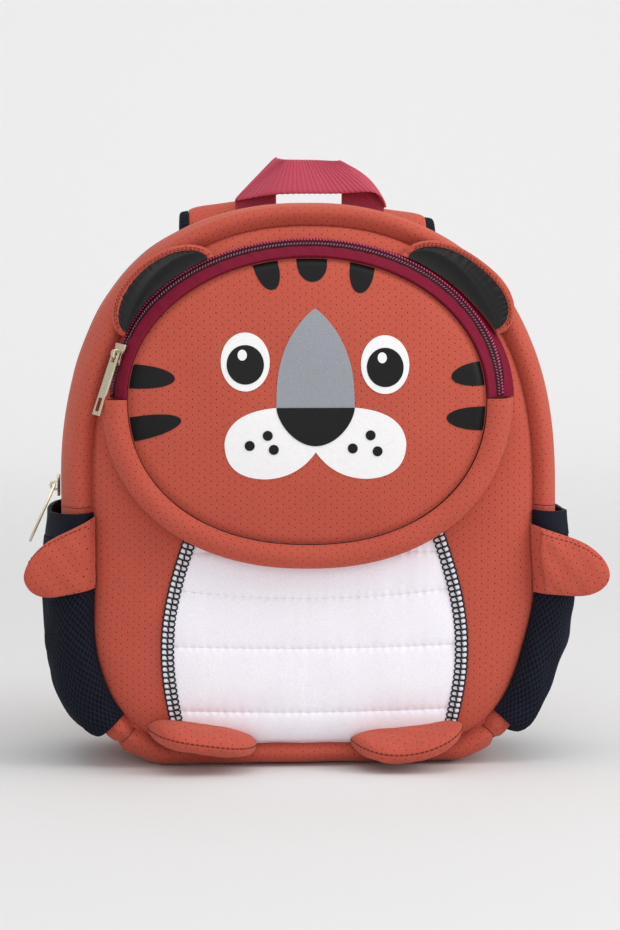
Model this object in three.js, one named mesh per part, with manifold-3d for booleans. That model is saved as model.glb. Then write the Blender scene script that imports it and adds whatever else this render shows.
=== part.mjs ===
// A child's animal backpack, standing on its base. Millimetres, +Z up, the face looks along -Y.
// The origin lies on the floor, under the middle of the main compartment.
// Sewn neighbours keep a small seam gap, so each piece is a closed solid of its own.
import * as THREE from "three";
import { mergeVertices } from "three/addons/utils/BufferGeometryUtils.js";
import Module from "manifold-3d";

const wasm = await Module();
wasm.setup();

// Main compartment
const bodyWidth = 253; // across the side walls at their widest
const bodyHeight = 291.5; // floor to the top of the arch
const bodyDepth = 92; // front roll to back roll
const widestHeight = 141; // height of the widest place above the floor
const archPower = 2.3; // 2 is an ellipse, more is squarer
const basePower = 4.2;
const baseSink = 5; // how deep the floor cuts the lower curve flat
const baseSeamShare = 0.9; // the base seam is drawn in this share of the side seam
const wall = 3; // neoprene
const seamGap = 0.35; // clearance between sewn neighbours
const frontRoll = { width: 8.4, depth: 20, seamAngle: -40 };
const backRoll = { width: 7, depth: 14, seamAngle: -30 };
const frontCrown = 12; // how far the front panel swells past its seam
const frontCrownPower = 8;
const backCrown = 2;
const gridAngle = 9; // degrees between neighbouring points of the body's outline
const gussetSplit = 3; // degrees below the widest place where the zipped arch meets the side strips
const baseCorner = 48.5; // degrees below the widest place where the side strips meet the base strip
const halfTurn = 180; // degrees of the outline, from its right end over the top to its left end

// White quilted belly panel, set into the front panel
const bellyCentre = 2;
const bellyTopHeight = 128; // hidden behind the face pocket
const bellyQuilt = 1.6; // how far each quilted channel puffs out
const bellyWidths = [
  // share of the height from the base seam to the panel's top, half width
  { share: 0, half: 70 },
  { share: 0.1, half: 72.5 },
  { share: 0.3, half: 76.5 },
  { share: 0.45, half: 77.5 },
  { share: 0.68, half: 74 },
  { share: 0.9, half: 66 },
  { share: 1, half: 61.5 },
];
const bellySeams = [0.185, 0.457, 0.677, 0.82]; // quilting seams, as shares of the height

// Face pocket
const faceWidth = 178;
const faceHeight = 141;
const faceCentre = { x: -1, z: bodyHeight - 101.5 };
const facePower = { upper: 2.02, lower: 2.2 };
const faceCrown = 8;
const faceRimStand = 9.5; // how far the face seam stands out from the front panel's middle
const faceRimTilt = 0.064; // the pocket is deeper at its chin
const borderWidth = { side: 12.5, top: 10 }; // the piped lower half keeps the side's width
const borderRoll = { width: 7, depth: 6, seamAngle: -50 };

// Zips
const zipTape = 1.2;
const coilWidth = 5;
const coilHeight = 1.6;
const coilCentre = 0.56; // share of the zip's width, from its inner or front edge
const zipArch = 1.5; // how far the face zip's tape bows out
const mainZip = { front: 5, width: 11 }; // its front edge's depth, and the slot's width
const faceSliderAngle = 164; // where the slider rests on the face's outline
const faceSliderUpright = 0.4; // share of its lean, along the curved zip, that the slider loses
const mainSliderAngle = 180;
const slider = { length: 11, width: 8, plate: 1.6, crownInner: 1.5, crownWall: 1.2, crownWidth: 2.2 };
const pull = { length: 33, width: 5.5, neck: 4.4, thickness: 1.4, bar: 1.4, window: 4.6, grip: 7 };
const hingeClearance = 0.3;

// Ears
const earAngle = 42; // degrees above level on the face's outline, to each side
const earSpread = 20; // half of the ear's root, in degrees of the outline
const earHeight = 15.5;
const earThickness = 4.5;
const earLean = 3;
const earHem = 3.2;
const liningThickness = 0.8;

// Arms and feet
const arm = {
  root: 38, // height of the fin where it is sewn in
  rootHeight: 109,
  overlap: 3.5,
  length: 39,
  drop: 8,
  tip: 25,
  thickness: 8,
  edge: 2.6,
};
const foot = { length: 27, thickness: 11, edge: 3, tipHeight: 8.5 };
const footSpans = { left: { from: -78, to: -23 }, right: { from: 23, to: 78 } }; // across the base seam

// Side pockets
const pocketTop = 4; // degrees below the widest place
const pocketBottom = 45;
const pocketBulge = 8.5;
const pocketRimOpen = 5;
const pocketMesh = 2;
const pocketBinding = { height: 10, thickness: 2.2 };

// Top handle, of folded webbing
const harnessCentre = 6; // the handle and the straps are sewn on this far to the right
const handle = { span: 57, width: 22, thickness: 1.6, crest: 20.5, lean: 12, stand: 3.4, root: 3.5 };

// Shoulder straps
const strap = {
  width: 44,
  thickness: 7,
  edge: 3.5,
  binding: 5, // navy edge
  top: 47, // half of the distance between the straps at their fold
  bottom: 58, // and at their lower ends
  crest: -5.5, // height of the fold above the arch
  tilt: 6, // how far the outer edge drops at the fold, and the inner rises
  sag: 5,
  taper: 0.7,
  lengthDown: 168,
  root: 20,
};
const strapFold = 9.5; // inner radius where the strap turns over at its top
const webbing = { width: 20, thickness: 1.4, anchor: 76, anchorHeight: 36, tail: 22 };
const adjuster = { width: 28, length: 24, thickness: 4, bar: 3.4, drop: 4.5 };
const anchorTab = { width: 26, length: 22, thickness: 2.4 };

// Printed face film, each shape centred on the face's middle line
const film = 0.5;
const printMiddle = 1;
const eye = { x: 35, z: 20.2, halfWidth: 12.2, halfHeight: 14.6 };
const pupil = { x: 35, z: 18.8, radius: 9.4 };
const glint = { x: -1.5, z: 23.6, halfWidth: 2.3, halfHeight: 2.7 };
const nose = { top: -1.8, halfWidth: 19.6, depth: 21.5 };
const noseBridge = { height: 47 };
const muzzle = { halfWidth: 45.5, cheekDrop: 20, depth: 37.8, notch: 24, chin: 25.5 };
const whiskerDot = 2.5; // radius
const whiskerDots = [
  // places from the face's centre
  { x: -33, z: -23 },
  { x: -24, z: -18 },
  { x: -21, z: -25 },
  { x: 27.5, z: -18 },
  { x: 18.5, z: -24.5 },
  { x: 31, z: -26 },
];
const filmGap = 0.3;
const browStripes = [
  // place across the face, half width, length down from the face's edge
  { x: -24, half: 5.2, length: 14 },
  { x: 0, half: 6.4, length: 11 },
  { x: 22, half: 5.2, length: 14 },
];
const cheekStripes = [
  // height on the face, half width, length in from the face's edge
  { z: 12.5, half: 5.8, length: 21 },
  { z: -10, half: 6.3, length: 23 },
];

const colours = {
  neoprene: 0xc0513f,
  belly: 0xeeedf2,
  navy: 0x161a28,
  burgundy: 0x6b1526,
  vinyl: 0x151515,
  webbingRed: 0xa83a4c,
  nickel: 0xd8d2c4,
  grey: 0x95989e,
  white: 0xf2f1f2,
  black: 0x161516,
};

const radians = (degrees) => (degrees * Math.PI) / 180;
const mix = (a, b, t) => a + (b - a) * t;
const clamp = (value, low, high) => Math.min(high, Math.max(low, value));
const smooth = (t) => {
  const k = clamp(t, 0, 1);
  return k * k * (3 - 2 * k);
};
const lastOf = (list) => list[list.length - 1];
const steps = (count) => Array.from({ length: count + 1 }, (_, k) => k / count);

// Turns corner points and triangles into a geometry that faces outwards.
function closedGeometry(points, triangles) {
  const kept = triangles.filter(([a, b, c]) => a !== b && b !== c && c !== a);
  let volume = 0;
  for (const [a, b, c] of kept) {
    const [p, q, r] = [points[a], points[b], points[c]].map((v) => new THREE.Vector3(...v));
    volume += p.dot(q.cross(r));
  }
  const index = kept.flatMap(([a, b, c]) => (volume < 0 ? [a, c, b] : [a, b, c]));
  const geometry = new THREE.BufferGeometry();
  geometry.setAttribute("position", new THREE.Float32BufferAttribute(points.flat(), 3));
  geometry.setIndex(index);
  geometry.computeVertexNormals();
  return geometry;
}

// A wall between two surfaces that share a grid of columns and rows.
function sheet(columns, rows, outer, inner) {
  const points = [];
  for (const surface of [outer, inner])
    for (const row of rows)
      for (const column of columns) points.push(surface(column, row));
  const [across, down] = [columns.length, rows.length];
  const at = (side, i, j) => side * across * down + j * across + i;
  const triangles = [];
  const quad = (a, b, c, d) => triangles.push([a, b, c], [a, c, d]);
  for (let j = 0; j < down - 1; j++)
    for (let i = 0; i < across - 1; i++) {
      quad(at(0, i, j), at(0, i + 1, j), at(0, i + 1, j + 1), at(0, i, j + 1));
      quad(at(1, i, j), at(1, i, j + 1), at(1, i + 1, j + 1), at(1, i + 1, j));
    }
  for (let i = 0; i < across - 1; i++) {
    quad(at(0, i, 0), at(1, i, 0), at(1, i + 1, 0), at(0, i + 1, 0));
    quad(at(0, i, down - 1), at(0, i + 1, down - 1), at(1, i + 1, down - 1), at(1, i, down - 1));
  }
  for (let j = 0; j < down - 1; j++) {
    quad(at(0, 0, j), at(0, 0, j + 1), at(1, 0, j + 1), at(1, 0, j));
    quad(at(0, across - 1, j), at(1, across - 1, j), at(1, across - 1, j + 1), at(0, across - 1, j + 1));
  }
  return closedGeometry(points, triangles);
}

// A panel between two surfaces on rings about a middle point.
function disc(rings, angles, outer, inner) {
  const points = [];
  for (const surface of [outer, inner]) {
    points.push(surface(0, 0));
    for (const ring of rings) for (const angle of angles) points.push(surface(ring, angle));
  }
  const count = angles.length;
  const side = 1 + rings.length * count;
  const at = (face, ring, k) => face * side + 1 + ring * count + (k % count);
  const triangles = [];
  for (let k = 0; k < count; k++) {
    triangles.push([0, at(0, 0, k), at(0, 0, k + 1)], [side, at(1, 0, k + 1), at(1, 0, k)]);
    for (let ring = 0; ring < rings.length - 1; ring++) {
      const [a, b] = [at(0, ring, k), at(0, ring, k + 1)];
      const [c, d] = [at(0, ring + 1, k + 1), at(0, ring + 1, k)];
      triangles.push([a, d, c], [a, c, b], [a + side, c + side, d + side], [a + side, b + side, c + side]);
    }
    const rim = rings.length - 1;
    const [p, q, r, s] = [at(0, rim, k), at(0, rim, k + 1), at(1, rim, k + 1), at(1, rim, k)];
    triangles.push([p, s, r], [p, r, q]);
  }
  return closedGeometry(points, triangles);
}

// Booleans
function toSolid(geometry) {
  const bare = new THREE.BufferGeometry();
  bare.setAttribute("position", geometry.getAttribute("position"));
  if (geometry.index) bare.setIndex(geometry.index);
  const merged = mergeVertices(bare, 1e-4);
  const triVerts = new Uint32Array(merged.index.array);
  const vertProperties = merged.getAttribute("position").array;
  return new wasm.Manifold(new wasm.Mesh({ numProp: 3, vertProperties, triVerts }));
}

function fromSolid(solid) {
  const mesh = solid.getMesh();
  const geometry = new THREE.BufferGeometry();
  const corners = Float32Array.from(mesh.vertProperties);
  geometry.setAttribute("position", new THREE.BufferAttribute(corners, 3));
  geometry.setIndex(new THREE.BufferAttribute(Uint32Array.from(mesh.triVerts), 1));
  geometry.computeVertexNormals();
  return geometry;
}

const join = (...parts) => fromSolid(parts.map(toSolid).reduce((a, b) => a.add(b)));
const cut = (part, ...tools) =>
  fromSolid(tools.map(toSolid).reduce((a, b) => a.subtract(b), toSolid(part)));
const keepInside = (part, region) => fromSolid(toSolid(part).intersect(toSolid(region)));

// A flat outline in X and Z, drawn out along Y between two depths.
function prism(shape, front, back, curveSegments = 12) {
  const depth = back - front;
  const geometry = new THREE.ExtrudeGeometry(shape, { depth, bevelEnabled: false, curveSegments });
  geometry.rotateX(Math.PI / 2);
  return geometry.translate(0, back, 0);
}

// Point on the body's outline at an angle, drawn in to a seam and then sunk into the wall.
function bodyOutline(degrees, inset, sink = 0) {
  const [c, s] = [Math.cos(radians(degrees)), Math.sin(radians(degrees))];
  const power = s > 0 ? archPower : basePower;
  const reach = (Math.abs(c) ** power + Math.abs(s) ** power) ** (-1 / power);
  const share = s > 0 ? 1 : baseSeamShare;
  const halfHeight = s > 0 ? bodyHeight - widestHeight : widestHeight + baseSink;
  const x = (bodyWidth / 2 - inset - sink) * c * reach;
  const z = widestHeight + (halfHeight - inset * share - sink) * s * reach;
  return [x, Math.max(z, inset * baseSeamShare + sink)];
}

// Places across the side wall, front seam to back seam. `out` and `back` say which way the skin looks.
function rollPlace(roll, side, degrees) {
  const centre = side * (bodyDepth / 2 - roll.depth);
  const [out, along] = [Math.sin(radians(degrees)), side * Math.cos(radians(degrees))];
  return { inset: roll.width * (1 - out), y: centre + roll.depth * along, out, back: along };
}
const flatPlace = (y) => ({ inset: 0, y, out: 1, back: 0 });
const frontPlace = (degrees) => rollPlace(frontRoll, -1, degrees);
const backPlace = (degrees) => rollPlace(backRoll, 1, degrees);

// Point of the side wall, sunk below its skin or, with a negative sink, lifted off it.
function wallPoint(degrees, place, sink) {
  const [x, z] = bodyOutline(degrees, place.inset, sink * place.out);
  return [x, place.y - sink * place.back, z];
}

const frontSeam = frontPlace(frontRoll.seamAngle);
const backSeam = backPlace(backRoll.seamAngle);
const frontTurns = { hem: -12, low: 14, middle: 40, high: 66, side: 90 }; // degrees round the roll
const backTurns = { side: 90, middle: 55, hem: 20 };
const frontRollPlaces = [frontRoll.seamAngle, ...Object.values(frontTurns)].map(frontPlace);
const backRollPlaces = [...Object.values(backTurns), backRoll.seamAngle].map(backPlace);
const frontMost = Math.min(...frontRollPlaces.map((place) => place.y));
const rearMost = Math.max(...backRollPlaces.map((place) => place.y));

// Outline angles from one to another, through the grid's own angles between them.
function anglesBetween(from, to) {
  const inside = [];
  const first = Math.ceil((from + 0.01) / gridAngle) * gridAngle;
  for (let angle = first; angle < to - 0.01; angle += gridAngle) inside.push(angle);
  return [from, ...inside, to];
}
const fullTurn = anglesBetween(0, 2 * halfTurn - gridAngle);
const gapAngle = THREE.MathUtils.radToDeg((2 * seamGap) / bodyWidth);
const archAngles = anglesBetween(gapAngle - gussetSplit, halfTurn + gussetSplit - gapAngle);
const baseAngles = anglesBetween(halfTurn + baseCorner + gapAngle, 2 * halfTurn - baseCorner - gapAngle);
const sideAngles = {
  left: anglesBetween(halfTurn + gussetSplit, halfTurn + baseCorner),
  right: anglesBetween(2 * halfTurn - baseCorner, 2 * halfTurn - gussetSplit),
};

const wallStrip = (angles, places) =>
  sheet(
    angles,
    places,
    (angle, place) => wallPoint(angle, place, 0),
    (angle, place) => wallPoint(angle, place, wall),
  );

// Front and back panels, whose rims meet the rolls
const panelReach = (x, z, seam) => {
  const above = z > widestHeight;
  const power = above ? archPower : basePower;
  const share = above ? 1 : baseSeamShare;
  const halfHeight = above ? bodyHeight - widestHeight : widestHeight + baseSink;
  const across = Math.abs(x) / (bodyWidth / 2 - seam.inset - seamGap);
  const up = Math.abs(z - widestHeight) / (halfHeight - (seam.inset + seamGap) * share);
  const toFloor = (widestHeight - z) / (widestHeight - (seam.inset + seamGap) * baseSeamShare);
  return Math.max((across ** power + up ** power) ** (1 / power), toFloor);
};
const swell = (reach) => Math.sqrt(Math.max(0, 1 - reach ** frontCrownPower));
const frontPanelY = (x, z) => frontSeam.y - frontCrown * swell(panelReach(x, z, frontSeam));

function panelPoint(ring, angle, seam, surfaceY) {
  const [x, z] = bodyOutline(angle, seam.inset + seamGap);
  const [px, pz] = [x * ring, mix(widestHeight, z, ring)];
  return [px, surfaceY(px, pz, ring), pz];
}

const frontRim = fullTurn.map((angle) => bodyOutline(angle, frontSeam.inset + seamGap));
const frontPanelRegion = prism(
  new THREE.Shape(frontRim.map(([x, z]) => new THREE.Vector2(x, z))),
  -bodyDepth,
  0,
);

function frontPanel() {
  const rings = [0.4, 0.68, 0.86, 0.95, 1];
  const surface = (sink) => (ring, angle) =>
    panelPoint(ring, angle, frontSeam, (x, z) => frontPanelY(x, z) + sink);
  const whole = disc(rings, fullTurn, surface(0), surface(wall));
  return cut(whole, prism(bellyShape(seamGap), -bodyDepth, 0));
}

const backPanelY = (reach) => backSeam.y + backCrown * (1 - reach ** 4);

function backPanel() {
  const surface = (sink) => (ring, angle) =>
    panelPoint(ring, angle, backSeam, () => backPanelY(ring) - sink);
  return disc([0.5, 0.85, 1], fullTurn, surface(0), surface(wall));
}

// Belly panel
const bellyBottomHeight = (frontSeam.inset + seamGap) * baseSeamShare;
const bellyHeight = (share) => mix(bellyBottomHeight, bellyTopHeight, share);

function bellyHalfWidth(share) {
  const next = Math.max(1, bellyWidths.findIndex((row) => row.share >= share - 1e-9));
  const [low, high] = [bellyWidths[next - 1], bellyWidths[next]];
  return mix(low.half, high.half, (share - low.share) / (high.share - low.share));
}

function bellyShape(grow) {
  const shares = bellyWidths.map((row) => row.share);
  const edge = (side) =>
    shares.map((share) => [
      bellyCentre + side * (bellyHalfWidth(share) + grow),
      share ? bellyHeight(share) + (share === 1 ? grow : 0) : 0,
    ]);
  const [left, right] = [edge(-1), edge(1)];
  return new THREE.Shape([...right, ...left.reverse()].map(([x, z]) => new THREE.Vector2(x, z)));
}

function bellyPanel() {
  const bounds = [0, ...bellySeams];
  const puff = (share) => {
    const next = bounds.findIndex((bound) => bound > share);
    if (next < 1) return 0;
    const channel = (share - bounds[next - 1]) / (bounds[next] - bounds[next - 1]);
    return Math.max(0, Math.sin(Math.PI * channel)) ** 0.7;
  };
  const rows = bounds.slice(1).flatMap((top, k) => [0, 0.12, 0.5, 0.88].map((t) => mix(bounds[k], top, t)));
  const columns = [-1, -0.96, -0.8, -0.4, 0, 0.4, 0.8, 0.96, 1];
  const surface = (sink) => (across, share) => {
    const [x, z] = [bellyCentre + across * bellyHalfWidth(share), bellyHeight(share)];
    const lift = sink ? 0 : bellyQuilt * puff(share) * Math.sqrt(1 - Math.abs(across) ** 6);
    return [x, frontPanelY(x, z) - lift + sink, z];
  };
  const whole = sheet(columns, [...rows, lastOf(bounds), 1], surface(0), surface(wall));
  return keepInside(whole, frontPanelRegion);
}

// Face pocket
const facePowerAt = (up) => (up > 0 ? facePower.upper : facePower.lower);

function faceOutline(degrees, grow) {
  const [c, s] = [Math.cos(radians(degrees)), Math.sin(radians(degrees))];
  const power = facePowerAt(s);
  const reach = (Math.abs(c) ** power + Math.abs(s) ** power) ** (-1 / power);
  return [
    faceCentre.x + (faceWidth / 2 + grow) * c * reach,
    faceCentre.z + (faceHeight / 2 + grow) * s * reach,
  ];
}
const borderAt = (degrees) =>
  mix(borderWidth.side, borderWidth.top, Math.max(0, Math.sin(radians(degrees))) ** 2);
const faceRimY = (z) => frontSeam.y - frontCrown - faceRimStand + faceRimTilt * (z - faceCentre.z);

function faceY(x, z) {
  const across = Math.abs(x - faceCentre.x) / (faceWidth / 2);
  const up = Math.abs(z - faceCentre.z) / (faceHeight / 2);
  const power = facePowerAt(z - faceCentre.z);
  const reach = Math.min(1, (across ** power + up ** power) ** (1 / power));
  return faceRimY(z) - faceCrown * (1 - reach ** 3);
}

const turnsOf = (count) => steps(count).slice(0, -1).map((t) => t * 2 * halfTurn);
const faceGrid = turnsOf(36);
const faceRings = [0.35, 0.65, 0.88];

function faceSkin(angles, rim, front, back) {
  const surface = (lift) => (ring, angle) => {
    const [x, z] = faceOutline(angle, 0).map((v, k) => mix(k ? faceCentre.z : faceCentre.x, v, ring));
    return [x, faceY(x, z) - lift, z];
  };
  return disc([...faceRings, rim], angles, surface(front), surface(back));
}

const facePanel = () => faceSkin(faceGrid, 1, 0, -wall);

// Depth where a piece around the face lands on the front panel.
const landingY = (x, z) => Math.min(frontPanelY(x, z), frontMost) - seamGap;

const borderTurns = [borderRoll.seamAngle, -15, 20, 55, 85]; // degrees round the roll

function faceBorder() {
  const middle = seamGap - borderRoll.width * Math.sin(radians(borderRoll.seamAngle));
  const surface = (sink) => (angle, place) => {
    if (place === "landing") {
      const [x, z] = faceOutline(angle, middle + borderRoll.width - seamGap - sink);
      return [x, landingY(x, z), z];
    }
    const [out, forward] = [Math.sin(radians(place)), Math.cos(radians(place))];
    const [x, z] = faceOutline(angle, middle + (borderRoll.width - sink) * out);
    const rim = faceOutline(angle, 0);
    const centre = faceRimY(rim[1]) + borderRoll.depth * Math.cos(radians(borderRoll.seamAngle));
    return [x, Math.min(centre - (borderRoll.depth - sink) * forward, landingY(x, z) - sink * 0.2), z];
  };
  const inside = faceGrid.filter((a) => a > halfTurn);
  const angles = [halfTurn + 2 * gapAngle, ...inside, 2 * halfTurn - 2 * gapAngle];
  return sheet(angles, [...borderTurns, "landing"], surface(0), surface(wall));
}

// Rows across a zip: share of its width, and how far the coil lifts it.
function zipRows(width) {
  const coil = coilWidth / width / 2;
  const slope = 0.05;
  return [
    { share: 0, lift: 0 },
    { share: coilCentre - coil - slope, lift: 0 },
    { share: coilCentre - coil, lift: coilHeight },
    { share: coilCentre + coil, lift: coilHeight },
    { share: coilCentre + coil + slope, lift: 0 },
    { share: 1, lift: 0 },
  ];
}

// Point of the face zip's tape: share 0 is the face's seam and 1 lies on the front panel.
function faceZipPoint(angle, share, lift) {
  const width = borderAt(angle);
  const [x, z] = faceOutline(angle, mix(seamGap, width, share));
  const rim = faceOutline(angle, 0);
  const outer = faceOutline(angle, width);
  const [from, to] = [faceRimY(rim[1]), landingY(...outer)];
  const arch = zipArch * Math.sin(Math.PI * share);
  const slope = Math.atan2(to - from, width);
  const [gx, gz] = [x - faceCentre.x, z - faceCentre.z];
  const far = Math.hypot(gx, gz);
  const sideways = lift * Math.sin(slope);
  return [
    x + (gx / far) * sideways,
    Math.min(mix(from, to, share) - arch, landingY(x, z)) - lift * Math.cos(slope),
    z + (gz / far) * sideways,
  ];
}

function faceZip() {
  const angles = faceGrid.filter((a) => a > 0 && a < halfTurn);
  return sheet(
    [gapAngle, ...angles, halfTurn - gapAngle],
    zipRows(borderWidth.side),
    (angle, row) => faceZipPoint(angle, row.share, zipTape + row.lift),
    (angle, row) => faceZipPoint(angle, row.share, 0),
  );
}

function mainZipTape() {
  const place = (row) => flatPlace(mainZip.front + mix(seamGap, mainZip.width - seamGap, row.share));
  return sheet(
    archAngles,
    zipRows(mainZip.width),
    (angle, row) => wallPoint(angle, place(row), 1 - row.lift),
    (angle, row) => wallPoint(angle, place(row), 1 + zipTape),
  );
}

// Zip slider: a plate with a crown over the pull's bar. Local X runs along the zip, Z away from it.
const pivotHeight = hingeClearance + slider.plate + hingeClearance + pull.bar * 0.75;

function sliderBody() {
  const [half, side] = [slider.length / 2, slider.width / 2];
  const nose = side * 0.55;
  const plan = new THREE.Shape([
    new THREE.Vector2(-half, -nose),
    new THREE.Vector2(0, -nose),
    new THREE.Vector2(half * 0.5, -side),
    new THREE.Vector2(half, -side),
    new THREE.Vector2(half, side),
    new THREE.Vector2(half * 0.5, side),
    new THREE.Vector2(0, nose),
    new THREE.Vector2(-half, nose),
  ]);
  const plate = new THREE.ExtrudeGeometry(plan, { depth: slider.plate, bevelEnabled: false });
  plate.translate(0, 0, hingeClearance);
  const outer = slider.crownInner + slider.crownWall;
  const legs = pivotHeight - hingeClearance - slider.plate / 2;
  const arch = new THREE.Shape();
  arch.moveTo(outer, -legs);
  arch.absarc(0, 0, outer, 0, Math.PI, false);
  arch.lineTo(-outer, -legs);
  arch.lineTo(-slider.crownInner, -legs);
  arch.absarc(0, 0, slider.crownInner, Math.PI, 0, true);
  arch.lineTo(slider.crownInner, -legs);
  const crown = prism(arch, -slider.crownWidth / 2, slider.crownWidth / 2, 8);
  crown.translate(0, 0, pivotHeight);
  return join(plate, crown);
}

// Pull tab: hangs from its bar along local -X, with a window round the crown and one near its end.
function pullTab() {
  const [wide, neck] = [pull.width / 2, pull.neck / 2 + 0.6];
  const bar = pull.bar / 2;
  const plan = new THREE.Shape([
    new THREE.Vector2(bar, -neck),
    new THREE.Vector2(bar, neck),
    new THREE.Vector2(-pull.window - 2, neck),
    new THREE.Vector2(-pull.length + bar, wide),
    new THREE.Vector2(-pull.length + bar, -wide),
    new THREE.Vector2(-pull.window - 2, -neck),
  ]);
  const opening = slider.crownWidth / 2 + 0.5;
  const window = new THREE.Path();
  window.moveTo(-bar, -opening);
  window.lineTo(-pull.window, -opening);
  window.lineTo(-pull.window, opening);
  window.lineTo(-bar, opening);
  const grip = new THREE.Path();
  const [gripNear, gripFar] = [-pull.length + bar + 2 + pull.grip, -pull.length + bar + 2];
  grip.moveTo(gripNear, -wide + 1.3);
  grip.lineTo(gripFar, -wide + 1.3);
  grip.lineTo(gripFar, wide - 1.3);
  grip.lineTo(gripNear, wide - 1.3);
  plan.holes.push(window, grip);
  const tab = new THREE.ExtrudeGeometry(plan, { depth: pull.thickness, bevelEnabled: false });
  return tab.translate(0, 0, -pull.thickness / 2);
}

// Ears: flaps that follow the zip's outer edge
function earPoint(side, across, up, lift) {
  const angle = 90 + side * (90 - earAngle - across * earSpread);
  const height = earHeight * (1 - Math.abs(across) ** 2.4) ** 0.5;
  const root = borderAt(angle) + 3 * seamGap;
  const [x, z] = faceOutline(angle, root + Math.max(1.5, height) * up);
  const rootY = -bodyDepth / 2 - seamGap - earThickness / 2 - 1.5;
  return [x, Math.min(rootY, landingY(x, z) - earThickness / 2) - earLean * up ** 1.5 - lift, z];
}

const earColumns = [-0.97, -0.9, -0.75, -0.5, -0.2, 0.2, 0.5, 0.75, 0.9, 0.97];

function ear(side) {
  const half = (up) => (earThickness / 2) * (1 - 0.3 * up);
  return sheet(
    earColumns,
    steps(3),
    (across, up) => earPoint(side, across, up, half(up)),
    (across, up) => earPoint(side, across, up, -half(up)),
  );
}

function earLining(side) {
  const hem = 1 - earHem / earHeight;
  const surface = (lift) => (across, up) =>
    earPoint(side, across * hem, up * hem, earThickness / 2 + seamGap + lift);
  return sheet(earColumns, steps(2), surface(liningThickness), surface(0));
}

// Arms: stuffed fins sewn into the front seam, passing in front of the roll and the side pocket
function armSolid(side) {
  const seamX = bodyOutline(0, frontSeam.inset)[0] - arm.overlap;
  const root = bodyDepth / 2 + pocketBinding.thickness + seamGap + arm.edge / 2;
  const over = root + (arm.thickness - arm.edge) / 2;
  const surface = (face) => (along, up) => {
    const round = Math.sqrt(Math.max(0, 1 - clamp((along - 0.55) / 0.45, 0, 1) ** 2));
    const halfHeight = Math.max(arm.edge, mix(arm.root / 2, arm.tip / 2, smooth(along)) * round);
    const edge = arm.edge / 2;
    const plump = (arm.thickness / 2 - edge) * Math.sqrt(1 - up * up) * Math.min(1, along * 5) * round;
    const y = mix(root, over, smooth(along / 0.16));
    return [
      side * (seamX + arm.length * along),
      -y + face * (edge + plump),
      arm.rootHeight - arm.drop * along + halfHeight * up,
    ];
  };
  const columns = [0, 0.08, 0.16, 0.35, 0.6, 0.8, 0.93, 1];
  return sheet(columns, [-1, -0.8, -0.4, 0, 0.4, 0.8, 1], surface(-1), surface(1));
}

// Height of the front base seam at a place across the bag
function baseSeamHeight(x) {
  const across = Math.abs(x) / (bodyWidth / 2 - frontSeam.inset);
  const lower = widestHeight + baseSink - frontSeam.inset * baseSeamShare;
  const height = widestHeight - lower * (1 - across ** basePower) ** (1 / basePower);
  return Math.max(height, frontSeam.inset * baseSeamShare);
}

// Feet: stuffed tongues sewn into the base seam that lie forward onto the floor
function footSolid(span) {
  const [from, to] = [span.from, span.to];
  const columns = [0.02, 0.08, 0.2, 0.38, 0.62, 0.8, 0.92, 0.98];
  const surface = (face) => (across, along) => {
    const w = across * 2 - 1;
    const x = mix(from, to, across);
    const seamZ = baseSeamHeight(x);
    const length = foot.length * Math.sqrt(1 - Math.abs(w) ** 2.6);
    const round = Math.sqrt(1 - Math.abs(w) ** 3);
    const swollen = Math.sin(Math.PI * Math.min(1, 0.12 + along * 0.88));
    const plump = (foot.thickness - foot.edge) * swollen * round;
    const rootZ = seamZ - foot.edge / 2;
    const middle = mix(rootZ, foot.tipHeight, smooth(along * 1.3));
    const lift = face < 0 ? -0.5 * (foot.edge + plump) : 0.5 * (foot.edge + plump);
    const rootY = frontMost - seamGap;
    return [x, rootY - length * along, Math.max(0, middle + lift)];
  };
  return sheet(columns, [0, 0.2, 0.45, 0.7, 0.9, 1], surface(1), surface(-1));
}

// Side pockets: mesh bags over the side wall, open at the top
const pocketPlaces = [
  // place across the side wall, and its share of the bulge
  { place: frontPlace(frontTurns.hem), share: 0 },
  { place: frontPlace(frontTurns.low), share: 0.1 },
  { place: frontPlace(frontTurns.middle), share: 0.35 },
  { place: frontPlace(frontTurns.high), share: 0.62 },
  { place: frontPlace(frontTurns.side), share: 0.86 },
  { place: flatPlace(0), share: 1 },
  { place: backPlace(backTurns.side), share: 0.86 },
  { place: backPlace(backTurns.middle), share: 0.42 },
  { place: backPlace(backTurns.hem), share: 0 },
];
const bindingEnd = pocketTop + THREE.MathUtils.radToDeg(pocketBinding.height / (bodyWidth / 2));
const pocketFull = bindingEnd + 8; // degrees below the widest place where the bulge is full

function pocketSheet(side, angles, thickness) {
  const swollen = (angle) => {
    const down = (angle - pocketTop) / (pocketBottom - pocketTop);
    const open = mix(pocketRimOpen, pocketBulge, smooth((angle - pocketTop) / (pocketFull - pocketTop)));
    return open * Math.sqrt(Math.max(0, 1 - clamp((down - 0.55) / 0.45, 0, 1) ** 2.5));
  };
  const lifted = (angle, spot, extra) => {
    const lift = seamGap + extra + swollen(angle) * spot.share;
    const [x, y, z] = wallPoint(-angle, spot.place, -lift);
    return [side * x, y, z];
  };
  return sheet(
    angles,
    pocketPlaces,
    (angle, spot) => lifted(angle, spot, thickness),
    (angle, spot) => lifted(angle, spot, 0),
  );
}
const pocketAngles = anglesBetween(bindingEnd + gapAngle, pocketBottom);
const pocket = (side) => pocketSheet(side, pocketAngles, pocketMesh);
const pocketRim = (side) => pocketSheet(side, [pocketTop, bindingEnd], pocketBinding.thickness);

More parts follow.
